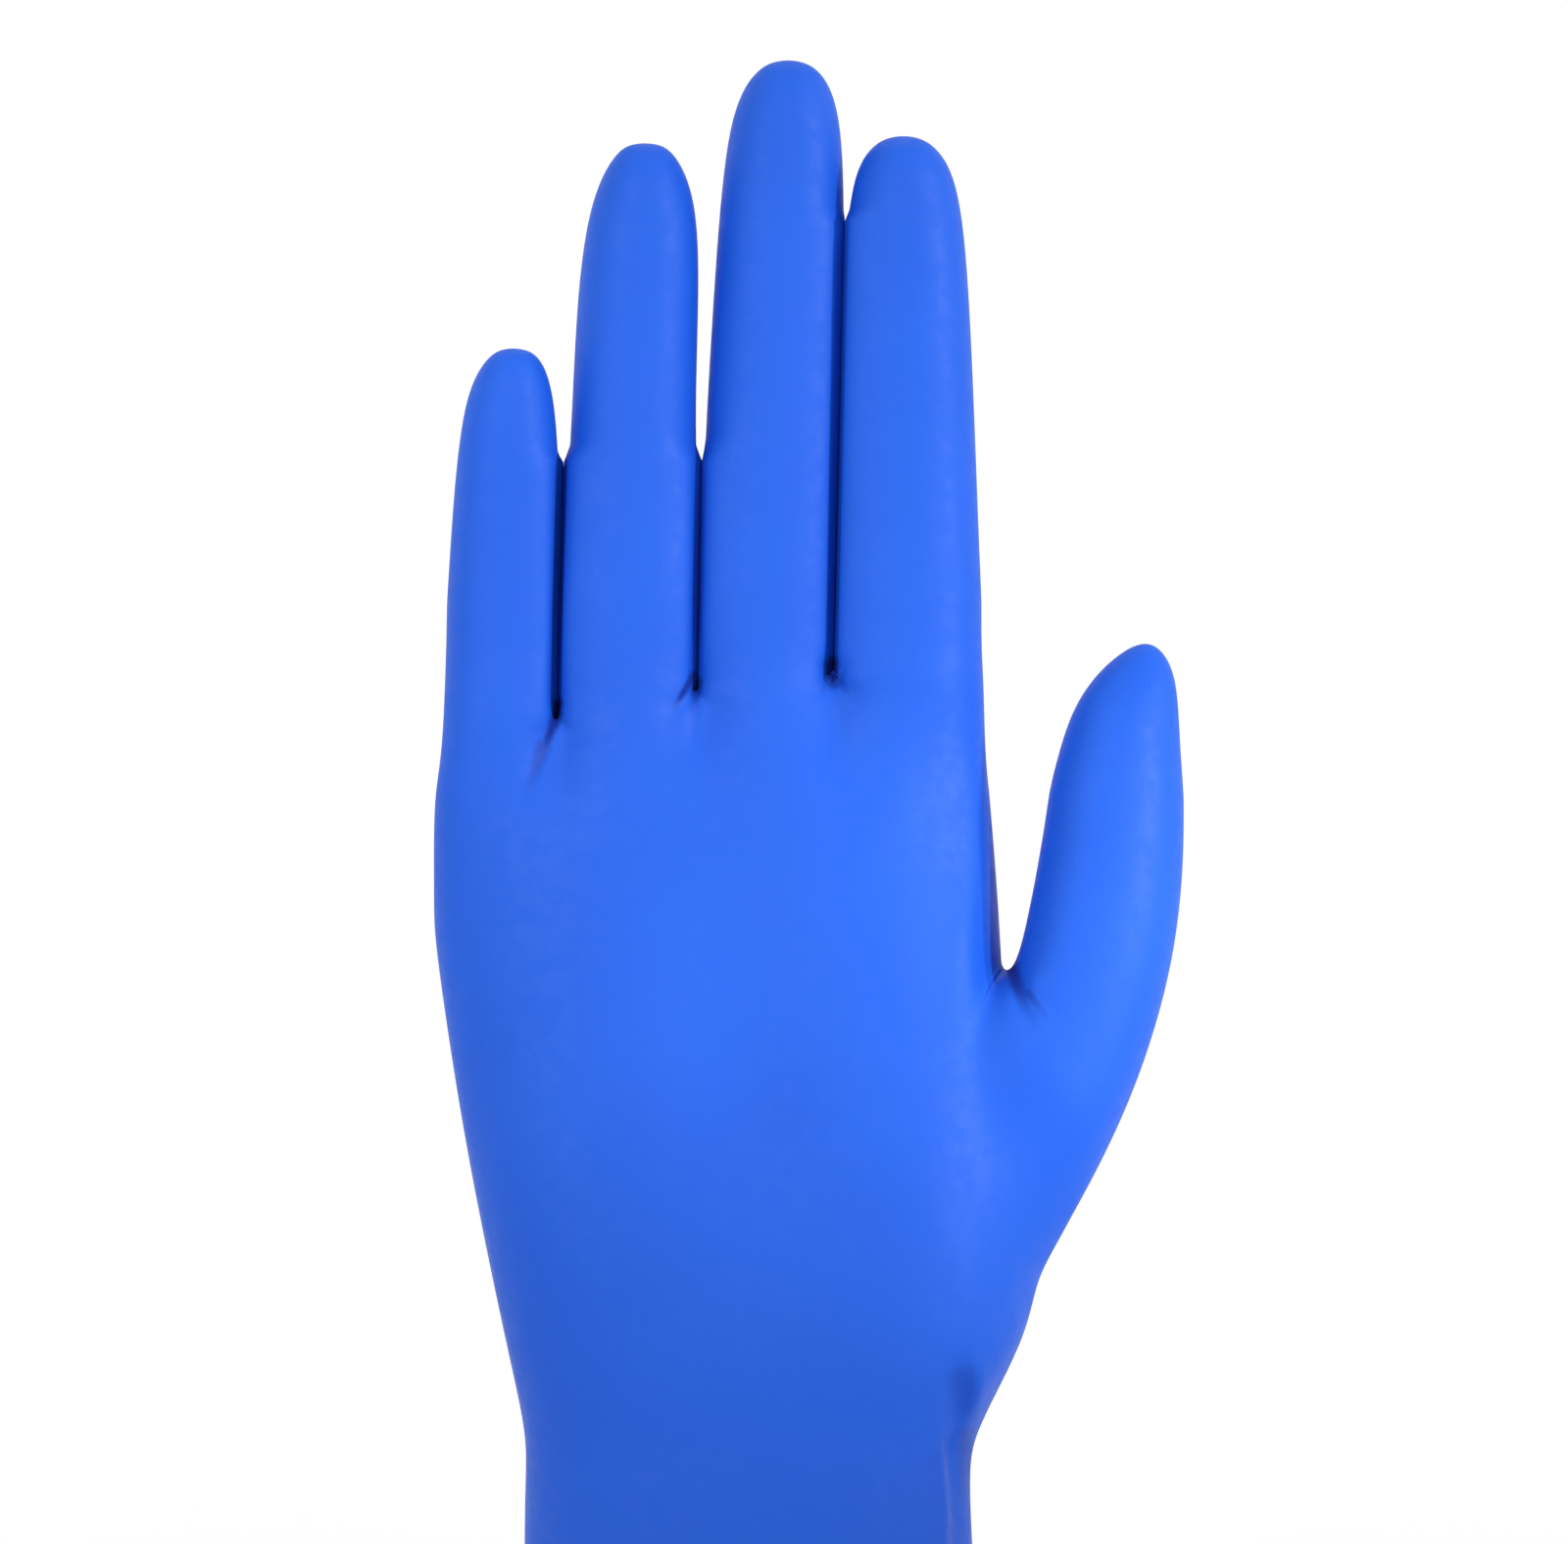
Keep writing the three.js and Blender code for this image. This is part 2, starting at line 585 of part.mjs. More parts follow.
// Two fingers press flat on each other up to where they touch, along a slit that slants.
function pressFingers(cage) {
  for (const p of cage.points) {
    for (let line = 1; line < FINGERS.length; line++) {
      const height = p.z - webHeight;
      const { foot, touch } = FINGER_LINES[line];
      const above = smooth((height - foot * WEB_SLOPE) / WEB_RAMP_HEIGHT);
      const below = smooth((touch - height) / SLIT_FADE_HEIGHT + 1);
      const width = (fingerWidth(line - 1) + fingerWidth(line)) / 2;
      const off = p.x - lineAt(line, p.z);
      const near = 1 - smooth(Math.abs(off) / (SLIT_REACH * width));
      const clear = Math.max(0, Math.abs(off) - FINGER_GAP / 2);
      const press = (PRESS_DEPTH * clear) / (PRESS_DEPTH + clear);
      const slant = smooth(0.5 + p.y / FINGERS[line].depth) - 0.5;
      p.x += above * below * near * (SLIT_SLANT * slant - Math.sign(off) * press);
    }
  }
}

// The inner skin, a wall's thickness in from the outer one.
function innerSkin(outer) {
  const normals = pointNormals(outer);
  const rim = new Set(rimLoop(outer));
  return outer.points.map((p, i) => {
    const n = normals[i];
    if (rim.has(i)) n.setZ(0).normalize();
    return p.clone().addScaledVector(n, -WALL);
  });
}

// The points of the open edge in order round the mouth.
function rimLoop(cage) {
  const next = new Map();
  for (const edge of neighbours(cage).edges.values()) {
    if (edge.faces.length === 1) next.set(edge.ends[0], edge.ends[1]);
  }
  const loop = [next.keys().next().value];
  while (next.get(loop.at(-1)) !== loop[0]) loop.push(next.get(loop.at(-1)));
  return loop;
}

// Joins the two skins round the mouth with the rolled bead.
function rolledBead(outerPoints, innerPoints, loop, offset) {
  const points = [];
  const faces = [];
  const openAngle = Math.asin(WALL / 2 / beadRadius);
  const rings = [loop];
  for (let step = 1; step < BEAD_SEGMENTS; step++) {
    const angle = mix(openAngle, 2 * Math.PI - openAngle, step / BEAD_SEGMENTS);
    rings.push(
      loop.map((p) => {
        const middle = outerPoints[p].clone().lerp(innerPoints[p], 0.5);
        const outward = outerPoints[p].clone().sub(middle).setZ(0).normalize();
        middle.addScaledVector(outward, beadRadius * Math.sin(angle));
        middle.z = beadRadius + beadRadius * Math.cos(angle);
        points.push(middle);
        return offset * 2 + points.length - 1;
      }),
    );
  }
  rings.push(loop.map((p) => p + offset));
  for (let i = 1; i < rings.length; i++) {
    loop.forEach((unused, k) => {
      const next = (k + 1) % loop.length;
      faces.push([rings[i - 1][next], rings[i - 1][k], rings[i][k], rings[i][next]]);
    });
  }
  return { points, faces };
}

// The two triangles of a four-sided face, split along its shorter diagonal.
function halves(points, [a, b, c, d]) {
  const first = points[a].distanceTo(points[c]) <= points[b].distanceTo(points[d]);
  return first ? [a, b, c, a, c, d] : [b, c, d, b, d, a];
}

function gloveShell() {
  const cage = gloveCage();
  fitThrough(cage);
  const outer = subdivided(cage);
  outer.points = limitPoints(outer, neighbours(outer));
  addRelief(outer);
  pressFingers(outer);
  const innerPoints = innerSkin(outer);
  const offset = outer.points.length;
  const bead = rolledBead(outer.points, innerPoints, rimLoop(outer), offset);
  const points = [...outer.points, ...innerPoints, ...bead.points];
  const innerFaces = outer.faces.map((face) => face.map((p) => p + offset).reverse());
  const faces = [...outer.faces, ...innerFaces, ...bead.faces];
  const geometry = new THREE.BufferGeometry();
  geometry.setFromPoints(points);
  geometry.setIndex(faces.flatMap((face) => halves(points, face)));
  geometry.computeVertexNormals();
  return geometry;
}

const nitrile = new THREE.MeshStandardMaterial({ color: 0x2a66ee, roughness: 0.45, metalness: 0 });

const glove = new THREE.Group();
const shell = new THREE.Mesh(gloveShell(), nitrile);
shell.name = "glove_shell";
glove.add(shell);

export default glove;
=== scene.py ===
"""Looks of the nitrile exam glove: its film, its rolled bead, the studio and the camera.

Tables are in millimetres and turned into metres where points are made. The frame is the
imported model's: the origin is the middle of the cuff's mouth, +Z runs to the fingertips, the
palm faces -Y and the thumb is at +X.
"""

import logging
import math
from dataclasses import dataclass, field
from enum import Enum

import bpy
import numpy as np
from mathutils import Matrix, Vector


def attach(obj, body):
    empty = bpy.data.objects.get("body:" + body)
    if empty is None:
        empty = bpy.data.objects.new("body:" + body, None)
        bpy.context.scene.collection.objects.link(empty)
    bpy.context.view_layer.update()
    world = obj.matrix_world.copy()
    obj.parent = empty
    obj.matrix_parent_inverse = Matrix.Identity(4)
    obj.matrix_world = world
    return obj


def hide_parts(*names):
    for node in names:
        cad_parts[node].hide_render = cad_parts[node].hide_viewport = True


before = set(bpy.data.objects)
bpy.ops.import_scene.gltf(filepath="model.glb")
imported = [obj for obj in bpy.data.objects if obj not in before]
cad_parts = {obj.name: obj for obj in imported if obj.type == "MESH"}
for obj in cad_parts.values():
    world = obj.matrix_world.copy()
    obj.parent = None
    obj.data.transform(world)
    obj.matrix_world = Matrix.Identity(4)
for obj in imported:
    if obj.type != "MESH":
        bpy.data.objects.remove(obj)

MM = 0.001
# Places in a sleeve's ring, counted from its thumb side over its palm side.
RING_SIDES = 10
THUMB_SIDE = 0
PALM_FACE = (4, 3, 2, 1)
LITTLE_SIDE = 5
BACK_FACE = (9, 8, 7, 6)
AT_ORIGIN = (0.0, 0.0, 0.0)
log = logging.getLogger("glove")


class Side(Enum):
    """The two faces of the hand, with the direction that each looks in along Y."""

    PALM = -1.0
    BACK = 1.0


@dataclass(frozen=True)
class BodyRow:
    """A section round the palm, in shares of the hand's named sizes.

    Args:
        rise: its height, as a share of the stretch that it stands in.
        little: how far the little finger's edge is from the middle, in palm breadths.
        thumb: how far the thumb's edge is from the middle, in palm breadths.
        palm: how far the palm's face stands out, in palm depths.
        back: how far the back's face stands out, in palm depths.
        open: how much of the half turn the thumb's root takes up.
        full: how far the palm is filled out towards the thumb's root.
        tip: how much of the webs' slope the row has.
        cleft: how much of the fingers' rounding the row has.
    """

    rise: float
    little: float
    thumb: float
    palm: float
    back: float
    open: float = 0.0
    full: float = 0.0
    tip: float = 0.0
    cleft: float = 0.0


@dataclass(frozen=True)
class FingerRow:
    """A section of a finger, in shares of the finger's own sizes.

    Args:
        rise: its height, in finger lengths.
        little: how far the little finger's side draws in, in finger widths.
        thumb: how far the thumb's side draws in, in finger widths.
        deep: its depth, in finger depths.
    """

    rise: float
    little: float
    thumb: float
    deep: float


@dataclass(frozen=True)
class ThumbRow:
    """A section of the thumb, in shares of the thumb's own sizes.

    Args:
        rise: height of its web side above the thumb's web, in thumb lengths.
        out: how far its web side stands off the palm, in thumb spreads.
        wide: its breadth, in thumb widths.
        root: what the thumb's root adds to its breadth, in root lengths.
        deep: its depth, in thumb depths.
        sink: how far its two faces are drawn towards the palm, in thumb widths.
        tilt: how far its outer side hangs, in degrees.
        forward: how far it stands towards the palm's face.
    """

    rise: float
    out: float
    wide: float
    root: float
    deep: float
    sink: float
    tilt: float
    forward: float


@dataclass(frozen=True)
class Finger:
    """A finger.

    Args:
        name: which finger it is, for the reader.
        broad: its width at the foot, as a share of all fingers' breadth.
        depth: its depth in millimetres.
        length: its length in millimetres.
        forward: how far it stands towards the palm's face, in its depths.
        rows: its sections, from the foot up.
    """

    name: str
    broad: float
    depth: float
    length: float
    forward: float
    rows: tuple[FingerRow, ...]


@dataclass(frozen=True)
class Line:
    """The line beside a finger.

    Args:
        name: where it is, for the reader.
        drift: how far it leans outwards by the middle fingertip, in mean finger widths.
        foot: height of its web, in web slopes.
        touch: height up to which its two fingers touch, in millimetres above the palm's end.
    """

    name: str
    drift: float
    foot: float
    touch: float


@dataclass(frozen=True)
class Mound:
    """A soft rise or hollow of the hand under the film, in shares of the palm's sizes.

    Args:
        name: what it is, for the reader.
        side: which face of the hand it is on.
        across: its place from the palm's middle towards the thumb.
        up: its place from the wrist up.
        wide: half its breadth.
        tall: half its height.
        high: how far it stands out, or goes in when it is negative.
    """

    name: str
    side: Side
    across: float
    up: float
    wide: float
    tall: float
    high: float


@dataclass(frozen=True)
class Pleat:
    """A soft fold in the film between two places (x, z) in millimetres.

    Args:
        name: what it is, for the reader.
        side: which face of the hand it is on.
        start: where it begins.
        end: where it is weakest.
        wide: half its breadth.
        high: how far it stands out of the film, or goes in when it is negative.
    """

    name: str
    side: Side
    start: tuple[float, float]
    end: tuple[float, float]
    wide: float
    high: float


@dataclass(frozen=True)
class Section:
    """A section round the palm, wrist or cuff, in millimetres.

    Args:
        left: its little finger's edge.
        right: its thumb's edge.
        palm: how far the palm's face stands out.
        back: how far the back's face stands out.
        squareness: how square its corners are.
        rooted: how square the palm's corner by the thumb is.
        even: how far its columns are spread evenly round the turn, from 0 to 1.
        height: its height.
        open: how much of the half turn the thumb's root takes up.
        tip: how much of the webs' slope it has.
        cleft: how much of the fingers' rounding it has.
    """

    left: float
    right: float
    palm: float
    back: float
    squareness: float
    rooted: float
    even: float
    height: float
    open: float = 0.0
    tip: float = 0.0
    cleft: float = 0.0


@dataclass(frozen=True)
class Wave:
    """A wave that runs round the cuff.

    Args:
        count: how many crests it has.
        start: how far it is turned, in radians.
        share: its height, as a share of the whole unevenness.
        twist: how far it turns for each millimetre up, in radians.
    """

    count: int
    start: float
    share: float
    twist: float = 0.0

    def at(self, turn: np.ndarray, height: np.ndarray | float = 0.0) -> np.ndarray:
        """How high the wave is at each turn and height."""
        return self.share * np.sin(self.count * turn + self.start + height * self.twist)


def mix(a: float, b: float, share: float) -> float:
    """A value between a and b."""
    return a + (b - a) * share


def smooth(share: np.ndarray | float) -> np.ndarray | float:
    """A soft step from 0 to 1."""
    s = np.clip(share, 0.0, 1.0)
    return s * s * (3 - 2 * s)


def round_point(angle: float, squareness: float) -> tuple[float, float]:
    """A point of a rounded section whose half width and half depth are 1.

    Args:
        angle: how far round the point is, in radians.
        squareness: 2 for an ellipse, and more for squarer corners.

    Returns:
        The point's place across and towards the palm.
    """
    c, s = math.cos(angle), math.sin(angle)
    power = 2 / squareness
    return math.copysign(abs(c) ** power, c), math.copysign(abs(s) ** power, s)


def placed(name: str, data: bpy.types.ID) -> bpy.types.Object:
    """Puts an object with the given data into the scene.

    Args:
        name: the object's name.
        data: its mesh, light or camera.

    Returns:
        The object.
    """
    item = bpy.data.objects.new(name, data)
    bpy.context.scene.collection.objects.link(item)
    return item


def new_piece(name: str, points: list, faces: list, soft: bool) -> bpy.types.Object:
    """Makes a mesh and puts it into the scene.

    Args:
        name: name of the object and its mesh.
        points: its points, in metres.
        faces: each face's points.
        soft: whether its faces are shaded smooth.

    Returns:
        The object.
    """
    mesh = bpy.data.meshes.new(name)
    mesh.from_pydata(points, [], faces)
    mesh.polygons.foreach_set("use_smooth", [soft] * len(mesh.polygons))
    return placed(name, mesh)


def round_depth(share: float, squareness: float) -> float:
    """Half the depth of a rounded section at a share of its half width."""
    return max(0.0, 1 - abs(share) ** squareness) ** (1 / squareness)


@dataclass
class Cage:
    """A coarse mesh of four-sided faces that the smooth film passes through."""

    points: list[np.ndarray] = field(default_factory=list)
    faces: list[list[int]] = field(default_factory=list)

    def point(self, x: float, y: float, z: float) -> int:
        """Adds a point and returns its number."""
        self.points.append(np.array([x, y, z]))
        return len(self.points) - 1

    def band(self, lower: list[int], upper: list[int], skipped: tuple[int, ...] = ()) -> None:
        """Adds the faces between two closed rings.

        Args:
            lower: points of the lower ring, in order.
            upper: points of the upper ring, in the same order.
            skipped: columns to leave open.
        """
        for i, corner in enumerate(lower):
            if i not in skipped:
                after = (i + 1) % len(lower)
                self.faces.append([corner, lower[after], upper[after], upper[i]])

    def cap(self, ring: list[int], tip: list[int]) -> None:
        """Closes a sleeve's last ring with two rows of faces that meet at the tip.

        Args:
            ring: the sleeve's last ring.
            tip: the tip's two points, from the little finger's side.
        """
        front = [ring[k] for k in PALM_FACE]
        middle = [ring[LITTLE_SIDE], *tip, ring[THUMB_SIDE]]
        back = [ring[k] for k in reversed(BACK_FACE)]
        for i in range(3):
            self.faces.append([front[i], front[i + 1], middle[i + 1], middle[i]])
            self.faces.append([middle[i], middle[i + 1], back[i + 1], back[i]])

    def drop_loose(self) -> None:
        """Drops the points that no face uses."""
        used = sorted({p for face in self.faces for p in face})
        number = {old: new for new, old in enumerate(used)}
        self.points = [self.points[p] for p in used]
        self.faces = [[number[p] for p in face] for face in self.faces]

    def links(self) -> tuple[list[set[int]], list[list[int]], dict[tuple[int, int], int]]:
        """What meets at each point.

        Returns:
            Each point's neighbours, each point's opposite corners, and the faces on each edge.
        """
        near: list[set[int]] = [set() for _ in self.points]
        opposite: list[list[int]] = [[] for _ in self.points]
        edges: dict[tuple[int, int], int] = {}
        for face in self.faces:
            for i, a in enumerate(face):
                b = face[(i + 1) % 4]
                near[a].add(b)
                near[b].add(a)
                opposite[a].append(face[(i + 2) % 4])
                key = (min(a, b), max(a, b))
                edges[key] = edges.get(key, 0) + 1
        return near, opposite, edges

    def fit(self, rounds: int) -> None:
        """Moves the cage until its smooth surface passes through the points it was given.

        Where the surface is, on the rim and inside it, follows Catmull-Clark subdivision.

        Args:
            rounds: how many times the points are moved by what is missing.
        """
        near, opposite, edges = self.links()
        wanted = [p.copy() for p in self.points]
        rim = {p: [] for key, count in edges.items() if count == 1 for p in key}
        for (a, b), count in edges.items():
            if count == 1:
                rim[a].append(b)
                rim[b].append(a)
        for _ in range(rounds):
            reached = []
            for i, p in enumerate(self.points):
                if i in rim:
                    reached.append((4 * p + sum(self.points[q] for q in rim[i])) / 6)
                    continue
                n = len(near[i])
                total = n * n * p + 4 * sum(self.points[q] for q in near[i])
                total = total + sum(self.points[q] for q in opposite[i])
                reached.append(total / (n * (n + 5)))
            self.points = [p + w - r for p, w, r in zip(self.points, wanted, reached)]

    def smoothed(self, levels: int) -> bpy.types.Mesh:
        """The cage's limit surface as a mesh.

        Args:
            levels: how many times each face is split in four.

        Returns:
            A new mesh, in metres.
        """
        holder = new_piece("cage", [tuple(p * MM) for p in self.points], self.faces, False)
        mesh = holder.data
        split = holder.modifiers.new("smooth", "SUBSURF")
        split.levels = levels
        split.render_levels = levels
        split.use_limit_surface = True
        split.boundary_smooth = "ALL"
        seen = holder.evaluated_get(bpy.context.evaluated_depsgraph_get())
        result = bpy.data.meshes.new_from_object(seen)
        bpy.data.objects.remove(holder)
        bpy.data.meshes.remove(mesh)
        return result


def relaxed(
    points: np.ndarray, quads: np.ndarray, weights: np.ndarray, rounds: int
) -> np.ndarray:
    """Points drawn towards the middle of their neighbours, as tension evens out a film.

    Args:
        points: the film's points.
        quads: its four-sided faces.
        weights: how far each point gives way in a round, from 0 to 1.
        rounds: how many times it is done.

    Returns:
        The new points.
    """
    sides = np.concatenate([quads[:, [i, (i + 1) % 4]] for i in range(4)])
    count = np.maximum(np.bincount(sides[:, 0], minlength=len(points)), 1)[:, None]
    for _ in range(rounds):
        total = np.zeros_like(points)
        np.add.at(total, sides[:, 0], points[sides[:, 1]])
        points = points + weights[:, None] * (total / count - points)
    return points


def quad_normals(points: np.ndarray, quads: np.ndarray) -> np.ndarray:
    """Outward normals of a mesh of four-sided faces.

    Args:
        points: the mesh's points.
        quads: its faces.

    Returns:
        One normal for each point.
    """
    normal = np.cross(
        points[quads[:, 2]] - points[quads[:, 0]], points[quads[:, 3]] - points[quads[:, 1]]
    )
    total = np.zeros_like(points)
    for corner in range(4):
        np.add.at(total, quads[:, corner], normal)
    return total / np.maximum(np.linalg.norm(total, axis=1, keepdims=True), 1e-12)


@dataclass
class HandForm:
    """The form that a hand gives the film.

    The sizes are the part's own, in millimetres. Squareness is 2 for an ellipse and more for
    squarer corners. What is named flat, lean, slack, share, reach or across is a plain share.
    """

    # Cuff, wrist and palm.
    cuff_length: float = 40.0
    cuff_width: float = 64.0
    cuff_depth: float = 50.0
    wrist_width: float = 62.2
    wrist_depth: float = 42.0
    palm_length: float = 112.0
    palm_depth: float = 28.0
    palm_extra_width: float = 2.3
    knuckle_shift: float = -4.7
    rim_height: float = 2.914
    # Webs and fingers.
    web_width: float = 0.7
    web_slope: float = 12.0
    web_turn: float = 0.25
    web_lead_height: float = 2.6
    web_ramp_height: float = 3.0
    foot_depth: float = 1.03
    finger_breadth: float = 76.3
    finger_curl: float = 5.0
    finger_gap: float = 0.24
    finger_tip_flat: float = 0.31
    # Slits where two fingers touch: an open groove in front that closes behind its edge.
    slit_slant: float = 1.0
    slit_front_gap: float = 1.35
    slit_back_gap: float = -0.1
    slit_close_from: float = 4.1
    slit_close_depth: float = 3.0
    slit_taper_height: float = 5.0
    press_depth: float = 2.2
    press_softness: float = 0.34
    slit_reach: float = 0.45
    slit_fade_height: float = 2.2
    # Thumb.
    thumb_web_height: float = 73.0
    thumb_length: float = 44.6
    thumb_root: float = 51.0
    thumb_width: float = 19.0
    thumb_depth: float = 19.0
    thumb_edge: float = 0.504
    thumb_spread: float = 6.0
    thumb_forward: float = 9.0
    thumb_tip_rise: float = 1.1
    thumb_tip_lean: float = 0.34
    thumb_tip_flat: float = 0.36
    # Roundness of the sections.
    wrist_squareness: float = 2.25
    cuff_squareness: float = 2.0
    palm_squareness: float = 2.5
    finger_squareness: float = 2.25
    root_squareness: float = 4.2
    # Where tension evens out the film: at the fingers' feet and at the thumb's root.
    foot_slack: float = 0.6
    foot_slack_height: float = -1.0
    foot_slack_half: float = 6.0
    foot_slack_fade: float = 8.0
    slit_tight: float = 1.0
    slit_tight_fade: float = 2.5
    root_slack: float = 0.7
    root_slack_across: float = 0.42
    root_slack_up: float = 0.36
    root_slack_wide: float = 22.0
    root_slack_tall: float = 26.0
    root_slack_core: float = 1.6
    root_facing_from: float = 0.35
    root_facing_fade: float = 0.4
    # How often the cage is fitted to its sections, and the sections themselves.
    fitting_rounds: int = 3
    cuff_rows: tuple[float, ...] = (0.0, 0.5, 1.0)
    heel_rows: tuple[BodyRow, ...] = (BodyRow(0.42, 0.339, 0.476, 0.73, 0.72, open=0.05),)
    root_rows: tuple[BodyRow, ...] = (
        BodyRow(0.0, 0.372, 0.55, 0.7, 0.68, open=0.1, full=0.3),
        BodyRow(0.35, 0.419, 0.525, 0.64, 0.62, open=0.15, full=1.0),
        BodyRow(0.69, 0.459, 0.52, 0.57, 0.57, open=0.15, full=1.0),
    )
    upper_rows: tuple[BodyRow, ...] = (
        BodyRow(0.09, 0.491, 0.512, 0.5, 0.51, open=0.1, full=0.4, tip=0.2),
        BodyRow(0.37, 0.498, 0.5, 0.44, 0.47, full=0.1, tip=0.5),
        BodyRow(0.66, 0.498, 0.491, 0.4, 0.42, tip=0.8, cleft=0.2),
        BodyRow(0.84, 0.495, 0.486, 0.37, 0.38, tip=0.95, cleft=0.6),
    )
    fingers: tuple[Finger, ...] = (
        Finger("little", 0.2163, 14.6, 47.2, 0.15, (
            FingerRow(0.07, 0.015, 0.0, 1.02),
            FingerRow(0.3, 0.036, 0.0, 1.0),
            FingerRow(0.6, 0.078, 0.03, 0.96),
            FingerRow(0.85, 0.168, 0.095, 0.8),
            FingerRow(0.965, 0.325, 0.212, 0.5),
        )),
        Finger("ring", 0.2543, 16.2, 75.8, 0.02, (
            FingerRow(0.06, 0.0, 0.0, 1.03),
            FingerRow(0.25, 0.0, 0.0, 1.03),
            FingerRow(0.48, 0.032, 0.045, 0.97),
            FingerRow(0.72, 0.062, 0.045, 0.94),
            FingerRow(0.89, 0.15, 0.09, 0.8),
            FingerRow(0.975, 0.3, 0.228, 0.5),
        )),
        Finger("middle", 0.249, 16.8, 87.5, -0.06, (
            FingerRow(0.06, 0.0, 0.0, 1.03),
            FingerRow(0.32, 0.003, 0.0, 1.01),
            FingerRow(0.66, 0.061, 0.0, 0.96),
            FingerRow(0.89, 0.152, 0.048, 0.8),
            FingerRow(0.975, 0.315, 0.19, 0.5),
        )),
        Finger("index", 0.2804, 17.0, 76.8, 0.04, (
            FingerRow(0.06, 0.0, 0.008, 1.02),
            FingerRow(0.3, 0.0, 0.024, 0.99),
            FingerRow(0.65, 0.0, 0.045, 0.94),
            FingerRow(0.89, 0.028, 0.105, 0.79),
            FingerRow(0.975, 0.145, 0.24, 0.5),
        )),
    )
    thumb_rows: tuple[ThumbRow, ...] = (
        ThumbRow(0.02, 0.12, 0.0, 0.86, 1.32, 0.28, 83.0, 0.17),
        ThumbRow(0.0, 0.22, 0.8, 0.38, 1.29, 0.14, 74.0, 0.36),
        ThumbRow(0.045, 0.43, 1.1, 0.08, 1.18, 0.03, 51.0, 0.64),
        ThumbRow(0.2, 0.7, 1.105, 0.0, 1.07, 0.0, 21.0, 0.88),
        ThumbRow(0.455, 1.04, 1.015, 0.0, 0.98, 0.0, 5.0, 0.98),
        ThumbRow(0.71, 1.36, 0.895, 0.0, 0.85, 0.0, -2.0, 1.03),
        ThumbRow(0.87, 1.89, 0.705, 0.0, 0.62, 0.0, -7.0, 1.03),
    )
    lines: tuple[Line, ...] = (
        Line("outside the little finger", 0.12, -0.4, 0.0),
        Line("little to ring", 0.12, -0.3, 32.6),
        Line("ring to middle", 0.09, 0.0, 32.6),
        Line("middle to index", 0.11, 0.17, 66.0),
        Line("outside the index finger", -0.12, 0.17, 0.0),
    )
    mounds: tuple[Mound, ...] = (
        Mound("ball of the thumb", Side.PALM, 0.42, 0.42, 0.22, 0.28, 0.12),
        Mound("heel of the hand", Side.PALM, -0.3, 0.3, 0.16, 0.3, 0.07),
        Mound("palm hollow", Side.PALM, 0.02, 0.56, 0.16, 0.25, -0.09),
        Mound("index knuckle", Side.BACK, 0.34, 0.78, 0.1, 0.1, 0.05),
        Mound("middle knuckle", Side.BACK, 0.12, 0.8, 0.1, 0.1, 0.06),
        Mound("ring knuckle", Side.BACK, -0.12, 0.78, 0.1, 0.1, 0.05),
        Mound("little knuckle", Side.BACK, -0.34, 0.74, 0.09, 0.1, 0.04),
    )

    @property
    def web_height(self) -> float:
        """Height of the palm's end."""
        return self.cuff_length + self.palm_length

    @property
    def palm_breadth(self) -> float:
        """Breadth of the palm at the knuckles."""
        return self.finger_breadth + self.palm_extra_width

    def finger_width(self, index: int) -> float:
        """A finger's width at its foot."""
        return self.fingers[index].broad * self.finger_breadth

    def line_at(self, line: int, height: np.ndarray | float) -> np.ndarray | float:
        """Where the line beside a finger stands at a height.

        Args:
            line: number of the line, from outside the little finger.
            height: one height or many.

        Returns:
            The line's place along X.
        """
        foot = self.knuckle_shift - self.finger_breadth / 2
        foot += sum(self.finger_width(i) for i in range(line))
        pitch = self.finger_breadth / len(self.fingers)
        middle_length = self.fingers[2].length
        rise = np.maximum(0.0, (height - self.web_height) / middle_length)
        return foot + self.lines[line].drift * pitch * rise

    def finger_ring(self, cage: Cage, index: int, row: FingerRow) -> list[int]:
        """One ring round a finger, from its thumb side over its palm side.

        Args:
            cage: the cage to add to.
            index: number of the finger, from the little one.
            row: the ring's section.

        Returns:
            The ring's points.
        """
        finger = self.fingers[index]
        z = self.web_height + row.rise * finger.length
        width = self.finger_width(index)
        left = self.line_at(index, z) + self.finger_gap / 2 + row.little * width
        right = self.line_at(index + 1, z) - self.finger_gap / 2 - row.thumb * width
        y = -finger.forward * finger.depth - self.finger_curl * row.rise**2
        ring = []
        for i in range(RING_SIDES):
            across, forward = round_point(i / RING_SIDES * math.tau, self.finger_squareness)
            x = (left + right) / 2 + (right - left) / 2 * across
            ring.append(cage.point(x, y - finger.depth / 2 * row.deep * forward, z))
        return ring

